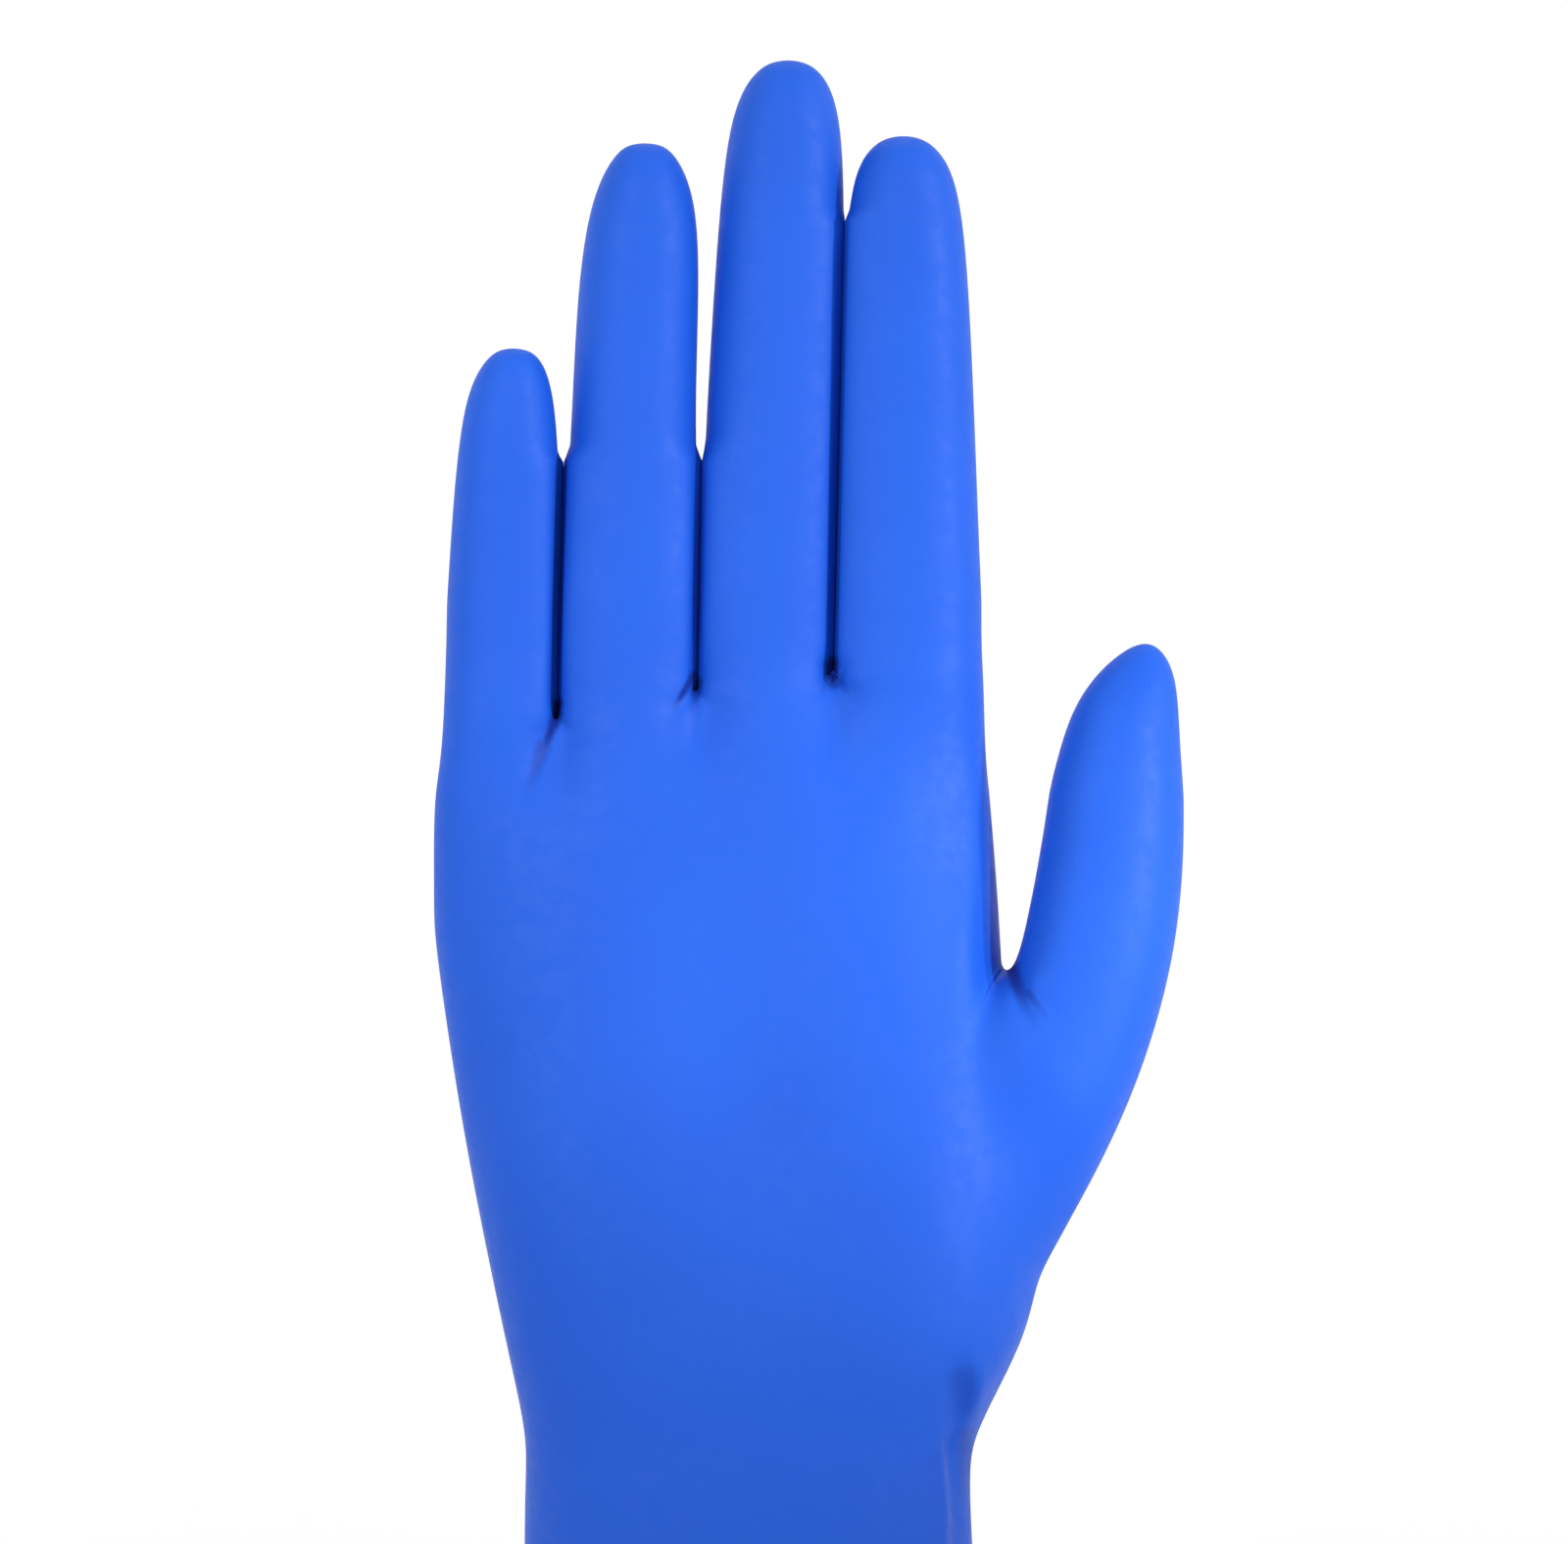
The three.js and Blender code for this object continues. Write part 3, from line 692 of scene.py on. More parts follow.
    def finger_foot(self, cage: Cage, index: int) -> list[int]:
        """The points where a finger leaves the palm, lower on the back than on the palm.

        Args:
            cage: the cage to add to.
            index: number of the finger, from the little one.

        Returns:
            The foot's points, in a finger ring's order.
        """
        finger = self.fingers[index]
        first, last = index == 0, index == len(self.fingers) - 1
        inset = (self.finger_gap if first else self.web_width) / 2
        left = self.line_at(index, self.web_height) + inset
        inset = (self.finger_gap if last else self.web_width) / 2
        right = self.line_at(index + 1, self.web_height) - inset
        ring = []
        for i in range(RING_SIDES):
            across, forward = round_point(i / RING_SIDES * math.tau, self.finger_squareness)
            y =-finger.forward * finger.depth - finger.depth / 2 * self.foot_depth * forward
            foot = mix(self.lines[index].foot, self.lines[index + 1].foot, (1 + across) / 2)
            turn = smooth((self.web_turn - forward) / (1 + self.web_turn))
            x = (left + right) / 2 + (right - left) / 2 * across
            ring.append(cage.point(x, y, self.web_height + self.web_slope * (foot - turn)))
        return ring

    def body_ring(
        self, cage: Cage, shares: list[float], end: list[int], section: Section
    ) -> list[int]:
        """One ring round the palm, wrist or cuff, which takes on the fingers' feet near them.

        Args:
            cage: the cage to add to.
            shares: where each column stands at the palm's end.
            end: the palm's last ring.
            section: the ring's edges, faces, roundness and height.

        Returns:
            The ring's points: little side, palm side, thumb side, back.
        """
        s = section
        count = len(shares)

        def place(column: int) -> float:
            """A column's share of the breadth."""
            turn = math.pi * (1 - s.open) * (column + 1) / (count + 1)
            return mix(shares[column], 0.5 - 0.5 * math.cos(turn), s.even)

        def rise(column: int, side: float) -> float:
            """A column's height."""
            lift = cage.points[end[1 + column]][2] - self.web_height
            return s.height + s.tip * (lift - self.web_slope * (1 + side) / 2)

        def corner(column: int, depth: float, side: Side, foot: int) -> int:
            """A point of one face.

            Args:
                column: number of its column, from the little finger's edge.
                depth: how far the face stands out.
                side: which face it is.
                foot: the point of the palm's end in the same column.

            Returns:
                The point's number.
            """
            share = place(column)
            rooted = share > 0.5 and side is Side.PALM
            square = s.rooted if rooted else s.squareness
            rounded = side.value * depth * round_depth(2 * share - 1, square)
            y = mix(rounded, cage.points[foot][1], s.cleft)
            return cage.point(mix(s.left, s.right, share), y, rise(column, side.value))

        ring = [cage.point(s.left, 0.0, rise(0, 0.0))]
        ring += [corner(i, s.palm, Side.PALM, end[1 + i]) for i in range(count)]
        ring.append(cage.point(s.right, 0.0, rise(count - 1, 0.0)))
        ring += [corner(i, s.back, Side.BACK, end[-1 - i]) for i in reversed(range(count))]
        return ring

    def cuff_section(self, share: float) -> Section:
        """A section of the cuff.

        Args:
            share: where it is between the mouth's oval at 0 and the wrist's at 1.

        Returns:
            The section.
        """
        half = mix(self.cuff_width, self.wrist_width, share) / 2
        deep = mix(self.cuff_depth, self.wrist_depth, share) / 2
        square = mix(self.cuff_squareness, self.wrist_squareness, share)
        height = mix(self.rim_height, self.cuff_length, share)
        return Section(-half, half, deep, deep, square, square, 1.0, height)

    def palm_section(self, row: BodyRow, lowest: float, highest: float) -> Section:
        """A section of the palm.

        Args:
            row: the section in shares.
            lowest: where its stretch begins above the wrist.
            highest: where its stretch ends.

        Returns:
            The section.
        """
        return Section(
            left=self.knuckle_shift - row.little * self.palm_breadth,
            right=self.knuckle_shift + row.thumb * self.palm_breadth,
            palm=row.palm * self.palm_depth,
            back=row.back * self.palm_depth,
            squareness=self.palm_squareness,
            rooted=mix(self.palm_squareness, self.root_squareness, row.full),
            even=1.0 if row.open > 0 else 0.5 * (1 - row.rise),
            height=self.cuff_length + mix(lowest, highest, row.rise),
            open=row.open,
            tip=row.tip,
            cleft=row.cleft,
        )

    def thumb_ring(self, cage: Cage, row: ThumbRow) -> list[int]:
        """One ring round the thumb, from its outer side over its palm side.

        Args:
            cage: the cage to add to.
            row: the ring's section.

        Returns:
            The ring's points.
        """
        tilt = math.radians(row.tilt)
        half = (row.wide * self.thumb_width + row.root * self.thumb_root) / 2
        edge = self.knuckle_shift + self.thumb_edge * self.palm_breadth
        outward = np.array([math.cos(tilt), 0.0, -math.sin(tilt)])
        web = np.array([
            edge + row.out * self.thumb_spread,
            -row.forward * self.thumb_forward,
            self.cuff_length + self.thumb_web_height + row.rise * self.thumb_length,
        ])
        ring = []
        for i in range(RING_SIDES):
            across, forward = round_point(i / RING_SIDES * math.tau, self.finger_squareness)
            p = web + outward * half * (1 + across)
            y = p[1] - self.thumb_depth / 2 * row.deep * forward
            ring.append(cage.point(p[0] - row.sink * self.thumb_width * abs(forward), y, p[2]))
        return ring

    def sleeve(
        self, cage: Cage, rings: list[list[int]], rise: tuple[float, float], flat: float
    ) -> None:
        """A sleeve from its foot ring up through its rings, closed by its tip.

        Args:
            cage: the cage to add to.
            rings: the sleeve's rings, from its foot.
            rise: how far the tip stands sideways from and above the last ring.
            flat: how broad the tip's top is, as a share of the last ring.
        """
        for lower, upper in zip(rings, rings[1:]):
            cage.band(lower[::-1], upper[::-1])
        last = rings[-1]
        middle = (cage.points[last[THUMB_SIDE]] + cage.points[last[LITTLE_SIDE]]) / 2
        tip = []
        for side in (LITTLE_SIDE, THUMB_SIDE):
            p = middle + flat * (cage.points[last[side]] - middle)
            tip.append(cage.point(p[0] + rise[0], p[1], p[2] + rise[1]))
        cage.cap(last, tip)

    def add_palm(self, cage: Cage, feet: list[list[int]]) -> list[int]:
        """The cuff, the wrist and the palm, left open for the thumb.

        Args:
            cage: the cage to add to.
            feet: the fingers' feet.

        Returns:
            The ring of points round the thumb's opening, in the order of the thumb's rings.
        """
        end = [feet[0][LITTLE_SIDE]]
        end += [ring[k] for ring in feet for k in PALM_FACE]
        end.append(feet[-1][THUMB_SIDE])
        end += [ring[k] for ring in reversed(feet) for k in BACK_FACE]
        edge = 1 + len(PALM_FACE) * len(self.fingers)
        left, right = cage.points[end[0]][0], cage.points[end[edge]][0]
        shares = [(cage.points[p][0] - left) / (right - left) for p in end[1:edge]]
        root_height = self.thumb_web_height - self.thumb_root
        web, length = self.thumb_web_height, self.palm_length
        sections = [self.cuff_section(share) for share in self.cuff_rows]
        sections += [self.palm_section(row, 0.0, root_height) for row in self.heel_rows]
        sections += [self.palm_section(row, root_height, web) for row in self.root_rows]
        sections += [self.palm_section(row, web, length) for row in self.upper_rows]
        rows = [self.body_ring(cage, shares, end, section) for section in sections] + [end]
        root_start = len(self.cuff_rows) + len(self.heel_rows)
        root_end = root_start + len(self.root_rows)
        for i in range(1, len(rows)):
            beside_thumb = root_start < i <= root_end
            cage.band(rows[i - 1], rows[i], (edge - 1, edge) if beside_thumb else ())
        beside = rows[root_start : root_end + 1]
        root = [beside[0][edge]] + [row[edge - 1] for row in beside]
        return root + [beside[-1][edge]] + [row[edge + 1] for row in reversed(beside)]

    def add_fingers(self, cage: Cage, feet: list[list[int]]) -> None:
        """The four fingers' sleeves and the webs between them.

        Args:
            cage: the cage to add to.
            feet: the fingers' feet.
        """
        for i, finger in enumerate(self.fingers):
            rings = [feet[i]] + [self.finger_ring(cage, i, row) for row in finger.rows]
            rise = (1 - finger.rows[-1].rise) * finger.length
            self.sleeve(cage, rings, (0.0, rise), self.finger_tip_flat)
        # Each web is one face towards the palm and one towards the back.
        for near, far in zip(feet, feet[1:]):
            cage.faces.append([near[1], far[4], far[5], near[0]])
            cage.faces.append([near[0], far[5], far[6], near[9]])

    def cage(self) -> Cage:
        """The whole glove's cage, fitted to the hand's sections.

        Returns:
            The cage, in millimetres.
        """
        cage = Cage()
        feet = [self.finger_foot(cage, i) for i in range(len(self.fingers))]
        root = self.add_palm(cage, feet)
        self.add_fingers(cage, feet)
        rings = [root] + [self.thumb_ring(cage, row) for row in self.thumb_rows]
        rise = (1 - self.thumb_rows[-1].rise) * self.thumb_length
        to_tip = (self.thumb_tip_lean * rise, rise + self.thumb_tip_rise)
        self.sleeve(cage, rings, to_tip, self.thumb_tip_flat)
        cage.drop_loose()
        cage.fit(self.fitting_rounds)
        return cage

    def add_mounds(self, points: np.ndarray, normals: np.ndarray) -> None:
        """Pushes the film out over the hand's mounds and knuckles, and into its hollow.

        Args:
            points: the film's points, which are moved.
            normals: their outward normals.
        """
        push = np.zeros(len(points))
        for mound in self.mounds:
            facing = smooth(mound.side.value * normals[:, 1])
            x = self.knuckle_shift + mound.across * self.palm_breadth
            z = self.cuff_length + mound.up * self.palm_length
            dx = (points[:, 0] - x) / (mound.wide * self.palm_breadth)
            dz = (points[:, 2] - z) / (mound.tall * self.palm_length)
            push += facing * mound.high * self.palm_depth * np.exp(-dx * dx - dz * dz)
        points += normals * push[:, None]

    def slack_at_feet(self, points: np.ndarray) -> np.ndarray:
        """How far each point gives way round the fingers' feet, away from the slits.

        Args:
            points: the film's points.

        Returns:
            A share from 0 to 1 for each point.
        """
        height = points[:, 2] - self.web_height
        off = np.abs(height - self.foot_slack_height)
        share = 1 - smooth((off - self.foot_slack_half) / self.foot_slack_fade)
        for number in range(1, len(self.fingers)):
            off = np.abs(points[:, 0] - self.line_at(number, points[:, 2]))
            share = share * smooth((off - self.slit_tight) / self.slit_tight_fade)
        return self.foot_slack * share

    def slack_at_root(self, points: np.ndarray, normals: np.ndarray) -> np.ndarray:
        """How far each point gives way between the palm and the thumb's root, off the outline.

        Args:
            points: the film's points.
            normals: their outward normals.

        Returns:
            A share from 0 to 1 for each point.
        """
        x = self.knuckle_shift + self.root_slack_across * self.palm_breadth
        z = self.cuff_length + self.root_slack_up * self.palm_length
        across = (points[:, 0] - x) / self.root_slack_wide
        reach = np.hypot(across, (points[:, 2] - z) / self.root_slack_tall)
        facing = smooth((-normals[:, 1] - self.root_facing_from) / self.root_facing_fade)
        return self.root_slack * smooth(self.root_slack_core * (1 - reach)) * facing

    def press_fingers(self, points: np.ndarray) -> None:
        """Presses each two fingers flat on each other, along a slit that slants.

        Args:
            points: the film's points, which are moved.
        """
        for number in range(1, len(self.fingers)):
            line = self.lines[number]
            height = points[:, 2] - self.web_height
            over = height - line.foot * self.web_slope + self.web_lead_height
            above = smooth(over / self.web_ramp_height)
            below = smooth((line.touch - height) / self.slit_fade_height + 0.5)
            width = (self.finger_width(number - 1) + self.finger_width(number)) / 2
            off = points[:, 0] - self.line_at(number, points[:, 2])
            near = 1 - smooth(np.abs(off) / (self.slit_reach * width))
            clear = np.maximum(0.0, np.abs(off) - self.finger_gap / 2)
            left_clear = self.press_softness * np.logaddexp(
                0.0, (clear - self.press_depth) / self.press_softness
            )
            rise = np.clip(height / self.fingers[number].length, 0.0, 1.0)
            depth = points[:, 1] + self.finger_curl * rise**2
            closing = smooth((depth + self.slit_close_from) / self.slit_close_depth)
            front = self.slit_front_gap * smooth(over / self.slit_taper_height)
            wall = (front * (1 - closing) + self.slit_back_gap * closing) / 2
            press = np.abs(off) - wall - left_clear
            slant = smooth(0.5 + depth / self.fingers[number].depth) - 0.5
            points[:, 0] += above * below * near * (self.slit_slant * slant - np.sign(off) * press)


@dataclass
class FilmFolds:
    """The small soft folds that the film takes where it is slack, in millimetres."""

    pleats: tuple[Pleat, ...] = (
        Pleat("wrist pleat by the thumb", Side.PALM, (31.9, 58.0), (32.2, 50.5), 1.0, 0.75),
        Pleat("valley beside that pleat", Side.PALM, (29.4, 57.0), (29.9, 50.0), 1.6, -0.9),
        Pleat("lower wrist pleat", Side.PALM, (27.0, 47.0), (27.4, 33.0), 1.1, 0.8),
        Pleat("valley beside it", Side.PALM, (29.2, 47.0), (29.2, 31.0), 1.4, -0.9),
        Pleat("furrow across the wrist", Side.PALM, (26.0, 51.5), (-24.0, 48.0), 7.5, -1.7),
        Pleat("second furrow", Side.PALM, (2.0, 43.0), (28.0, 41.0), 3.0, -0.35),
        Pleat("pull from the ring web", Side.PALM, (-7.3, 151.5), (-10.6, 148.8), 1.1, -0.35),
        Pleat("light ridge beside it", Side.PALM, (-8.7, 149.2), (-9.2, 144.5), 1.2, 0.3),
        Pleat("curl of the little web", Side.PALM, (-26.2, 148.6), (-27.6, 144.4), 1.5, -0.35),
        Pleat("its tail", Side.PALM, (-27.6, 144.4), (-30.6, 137.0), 1.9, -0.3),
        Pleat("pocket at the index web", Side.PALM, (12.0, 155.0), (12.0, 152.0), 1.5, -0.8),
        Pleat("its little side", Side.PALM, (11.8, 153.4), (9.6, 151.4), 0.9, -0.35),
        Pleat("its thumb side", Side.PALM, (12.3, 153.4), (14.9, 151.0), 0.9, -0.35),
        Pleat("fold of the thumb's web", Side.PALM, (37.0, 113.0), (38.6, 106.0), 1.3, -0.8),
        Pleat("ridge beside that fold", Side.PALM, (39.0, 111.5), (40.6, 105.5), 1.2, 0.3),
        Pleat("second fold of the web", Side.PALM, (40.2, 109.4), (41.8, 106.0), 1.0, -0.35),
        Pleat("back of the thumb's web", Side.BACK, (36.5, 111.0), (33.0, 96.0), 2.2, -0.5),
        Pleat("back pull to the thumb", Side.BACK, (30.0, 106.0), (38.0, 88.0), 2.4, 0.35),
        Pleat("wrist furrow on the back", Side.BACK, (-20.0, 50.0), (20.0, 51.0), 4.5, -0.6),
    )
    facing_start: float = 0.2
    facing_gain: float = 1.2
    fading: float = 0.6
    cuff_waves: tuple[Wave, ...] = (
        Wave(5, 0.6, 1.0),
        Wave(9, 2.1, 0.6, 0.02),
        Wave(17, 0.4, 0.35, 0.05),
    )
    wave_height: float = 0.32
    wave_top: float = 18.0
    wave_fade: float = 26.0

    def push(self, points: np.ndarray, normals: np.ndarray) -> np.ndarray:
        """How far each point moves along its normal, in millimetres.

        Args:
            points: the film's points, in millimetres.
            normals: their outward normals.

        Returns:
            One length for each point.
        """
        total = np.zeros(len(points))
        flat = points[:, [0, 2]]
        for pleat in self.pleats:
            start, end = np.array(pleat.start), np.array(pleat.end)
            along = end - start
            share = np.clip((flat - start) @ along / (along @ along), 0.0, 1.0)
            away = np.linalg.norm(flat - start - share[:, None] * along, axis=1)
            facing = smooth(self.facing_start + self.facing_gain * pleat.side.value * normals[:, 1])
            fade = 1 - self.fading * share
            total += facing * fade * pleat.high * np.exp(-((away / pleat.wide) ** 2))
        return total

    def slackness(self, points: np.ndarray) -> np.ndarray:
        """Slow waves of the slack film round the cuff, in millimetres.

        Args:
            points: the film's points, in millimetres.

        Returns:
            One length for each point.
        """
        turn = np.arctan2(points[:, 1], points[:, 0])
        low = 1 - smooth((points[:, 2] - self.wave_top) / self.wave_fade)
        waves = sum(wave.at(turn, points[:, 2]) for wave in self.cuff_waves)
        return low * self.wave_height * waves


@dataclass
class FilmPiece:
    """The film itself: an outer and an inner skin that meet at the cuff's mouth."""

    form: HandForm = field(default_factory=HandForm)
    folds: FilmFolds = field(default_factory=FilmFolds)
    thickness: float = 0.5
    levels: int = 3
    foot_rounds: int = 40
    root_rounds: int = 90
    mouth: np.ndarray = field(default_factory=lambda: np.zeros((0, 3)))

    def outer(self) -> tuple[np.ndarray, np.ndarray]:
        """The outer skin.

        Returns:
            Its points in millimetres and its four-sided faces.
        """
        mesh = self.form.cage().smoothed(self.levels)
        points = np.empty(len(mesh.vertices) * 3)
        mesh.vertices.foreach_get("co", points)
        points = points.reshape(-1, 3) / MM
        quads = np.empty(len(mesh.loops), dtype=np.int64)
        mesh.loops.foreach_get("vertex_index", quads)
        quads = quads.reshape(-1, 4)
        bpy.data.meshes.remove(mesh)
        points = relaxed(points, quads, self.form.slack_at_feet(points), self.foot_rounds)
        slack = self.form.slack_at_root(points, quad_normals(points, quads))
        points = relaxed(points, quads, slack, self.root_rounds)
        self.form.add_mounds(points, quad_normals(points, quads))
        self.form.press_fingers(points)
        normals = quad_normals(points, quads)
        push = self.folds.push(points, normals) + self.folds.slackness(points)
        return points + normals * push[:, None], quads

    def rim(self, quads: np.ndarray) -> np.ndarray:
        """The points of the open edge.

        Args:
            quads: the outer skin's faces.

        Returns:
            The points' numbers, in order round the mouth.
        """
        sides = np.concatenate([quads[:, [i, (i + 1) % 4]] for i in range(4)])
        seen = {(a, b) for a, b in sides.tolist()}
        after = {a: b for a, b in seen if (b, a) not in seen}
        loop = [min(after)]
        while after[loop[-1]] != loop[0]:
            loop.append(after[loop[-1]])
        return np.array(loop)

    def build(self) -> bpy.types.Object:
        """Makes the film as one mesh of two skins, and keeps the middle of its edge.

        Returns:
            The film's object.
        """
        outer, quads = self.outer()
        normals = quad_normals(outer, quads)
        loop = self.rim(quads)
        normals[loop, 2] = 0
        normals[loop] /= np.linalg.norm(normals[loop], axis=1, keepdims=True)
        inner = outer - normals * self.thickness
        self.mouth = (outer[loop] + inner[loop]) / 2
        count = len(outer)
        after = np.roll(loop, -1)
        lip = np.stack([after, loop, loop + count, after + count], axis=1)
        faces = np.concatenate([quads, quads[:, ::-1] + count, lip])
        points = np.concatenate([outer, inner]) * MM
        return new_piece("glove_film", points.tolist(), faces.tolist(), True)


@dataclass
class RolledBead:
    """The cuff's edge, rolled up on itself into a bead with a seam where the roll ends."""

    radius: float = 1.5
    sides: int = 18
    seam_at: float = 1.15
    seam_depth: float = 0.2
    seam_width: float = 0.28
    uneven: float = 0.05
    waves: tuple[Wave, ...] = (Wave(7, 0.0, 0.3), Wave(16, 1.0, 0.2))

    def build(self, mouth: np.ndarray) -> bpy.types.Object:
        """Makes the bead round the film's mouth.

        Args:
            mouth: the middle of the film's edge, in order round the mouth, in millimetres.

        Returns:
            The bead's object.
        """
        centre = mouth[:, :2]
        along = np.roll(centre, -1, axis=0) - np.roll(centre, 1, axis=0)
        out = np.stack([along[:, 1], -along[:, 0]], axis=1)
        out /= np.linalg.norm(out, axis=1, keepdims=True)
        if np.sum(out * centre) < 0:
            out = -out
        turn = np.arctan2(centre[:, 1], centre[:, 0])
        thick = 1 - self.uneven * (0.5 + sum(wave.at(turn) for wave in self.waves))
        points = []
        for side in range(self.sides):
            angle = side / self.sides * math.tau
            seam = math.exp(-(((angle - self.seam_at) / self.seam_width) ** 2))
            reach = self.radius * thick - self.seam_depth * seam
            height = self.radius + reach * math.sin(angle)
            flat = centre + out * (reach * math.cos(angle))[:, None]
            points.append(np.column_stack([flat, height]))
        count = len(mouth)
        index = np.arange(count)
        after = np.roll(index, -1)
        faces = []
        for side in range(self.sides):
            here, there = side * count, (side + 1) % self.sides * count
            faces.append(np.stack([here + index, here + after, there + after, there + index], 1))
        points = np.concatenate(points) * MM
        return new_piece("rolled_bead", points.tolist(), np.concatenate(faces).tolist(), True)


class NodeTree:
    """A short way to add and join shader nodes in one tree."""

    def __init__(self, tree: bpy.types.NodeTree) -> None:
        """Keeps the tree to add to."""
        self.tree = tree

    def add(self, kind: str, **values: object) -> bpy.types.Node:
        """Adds a node.

        Args:
            kind: the node's type.
            values: its properties by name.

        Returns:
            The node.
        """
        node = self.tree.nodes.new(kind)
        for name, value in values.items():
            setattr(node, name, value)
        return node

    def feed(self, node: bpy.types.Node, **sources: object) -> bpy.types.Node:
        """Sets a node's inputs, each from a socket or a plain value.

        Args:
            node: the node to feed.
            sources: input name, with underscores for spaces, or i and a number, and its source.

        Returns:
            The same node.
        """
        for name, source in sources.items():
            numbered = name[0] == "i" and name[1:].isdigit()
            socket = node.inputs[int(name[1:]) if numbered else name.replace("_", " ")]
            if isinstance(source, bpy.types.NodeSocket):
                self.tree.links.new(source, socket)
            else:
                socket.default_value = source
        return node

    def math(self, operation: str, *sources: object, clamp: bool = False) -> bpy.types.NodeSocket:
        """A Math node.

        Args:
            operation: what it does.
            sources: its inputs in order, sockets or plain numbers.
            clamp: whether the result is kept from 0 to 1.

        Returns:
            The result's socket.
        """
        node = self.add("ShaderNodeMath", operation=operation, use_clamp=clamp)
        self.feed(node, **{f"i{i}": source for i, source in enumerate(sources)})
        return node.outputs[0]

    def noise(self, where: object, scale: object, detail: float = 2.0) -> bpy.types.NodeSocket:
        """A noise value at a place.

        Args:
            where: the place.
            scale: how many waves a metre takes.
            detail: how many finer layers it has.

        Returns:
            The value's socket.
        """
        node = self.add("ShaderNodeTexNoise")
        self.feed(node, Vector=where, Scale=scale, Detail=detail, Roughness=0.5)
        return node.outputs["Fac"]

    def ramp(
        self, value: object, low: object, high: float, at_low: float, at_high: float
    ) -> bpy.types.NodeSocket:
        """A soft change from one value to another.

        Args:
            value: what it follows.
            low: where the change begins.
            high: where it ends.
            at_low: the result up to low.
            at_high: the result from high on.

        Returns:
            The result's socket.
        """
        node = self.add("ShaderNodeMapRange", interpolation_type="SMOOTHSTEP")
        self.feed(node, Value=value, From_Min=low, From_Max=high, To_Min=at_low, To_Max=at_high)
        return node.outputs["Result"]

    def blend(self, share: object, first: object, second: object) -> bpy.types.NodeSocket:
        """A mix of two colours.

        Args:
            share: how much of the second colour it has.
            first: the first colour.
            second: the second colour.

        Returns:
            The mixed colour's socket.
        """
        node = self.add("ShaderNodeMix", data_type="RGBA")
        self.feed(node, i0=share, i6=first, i7=second)
        return node.outputs[2]


def new_group(
    name: str, inputs: dict[str, float | tuple[float, float, float]], outputs: tuple[str, ...]
) -> tuple[bpy.types.NodeTree, NodeTree, dict[str, bpy.types.NodeSocket], bpy.types.Node]:
    """Starts a shader node group with named sockets.

    Args:
        name: the group's name.
        inputs: each input's starting value, one number or a vector of three.
        outputs: names of its outputs, all plain numbers.

    Returns:
        The group, its helper, its input sockets by name and its output node.
    """
    group = bpy.data.node_groups.new(name, "ShaderNodeTree")
    for label, value in inputs.items():
        kind = "NodeSocketVector" if isinstance(value, tuple) else "NodeSocketFloat"
        socket = group.interface.new_socket(name=label, in_out="INPUT", socket_type=kind)
        socket.default_value = value
    for label in outputs:
        group.interface.new_socket(name=label, in_out="OUTPUT", socket_type="NodeSocketFloat")
    helper = NodeTree(group)
    given = {socket.name: socket for socket in helper.add("NodeGroupInput").outputs}
    return group, helper, given, helper.add("NodeGroupOutput")


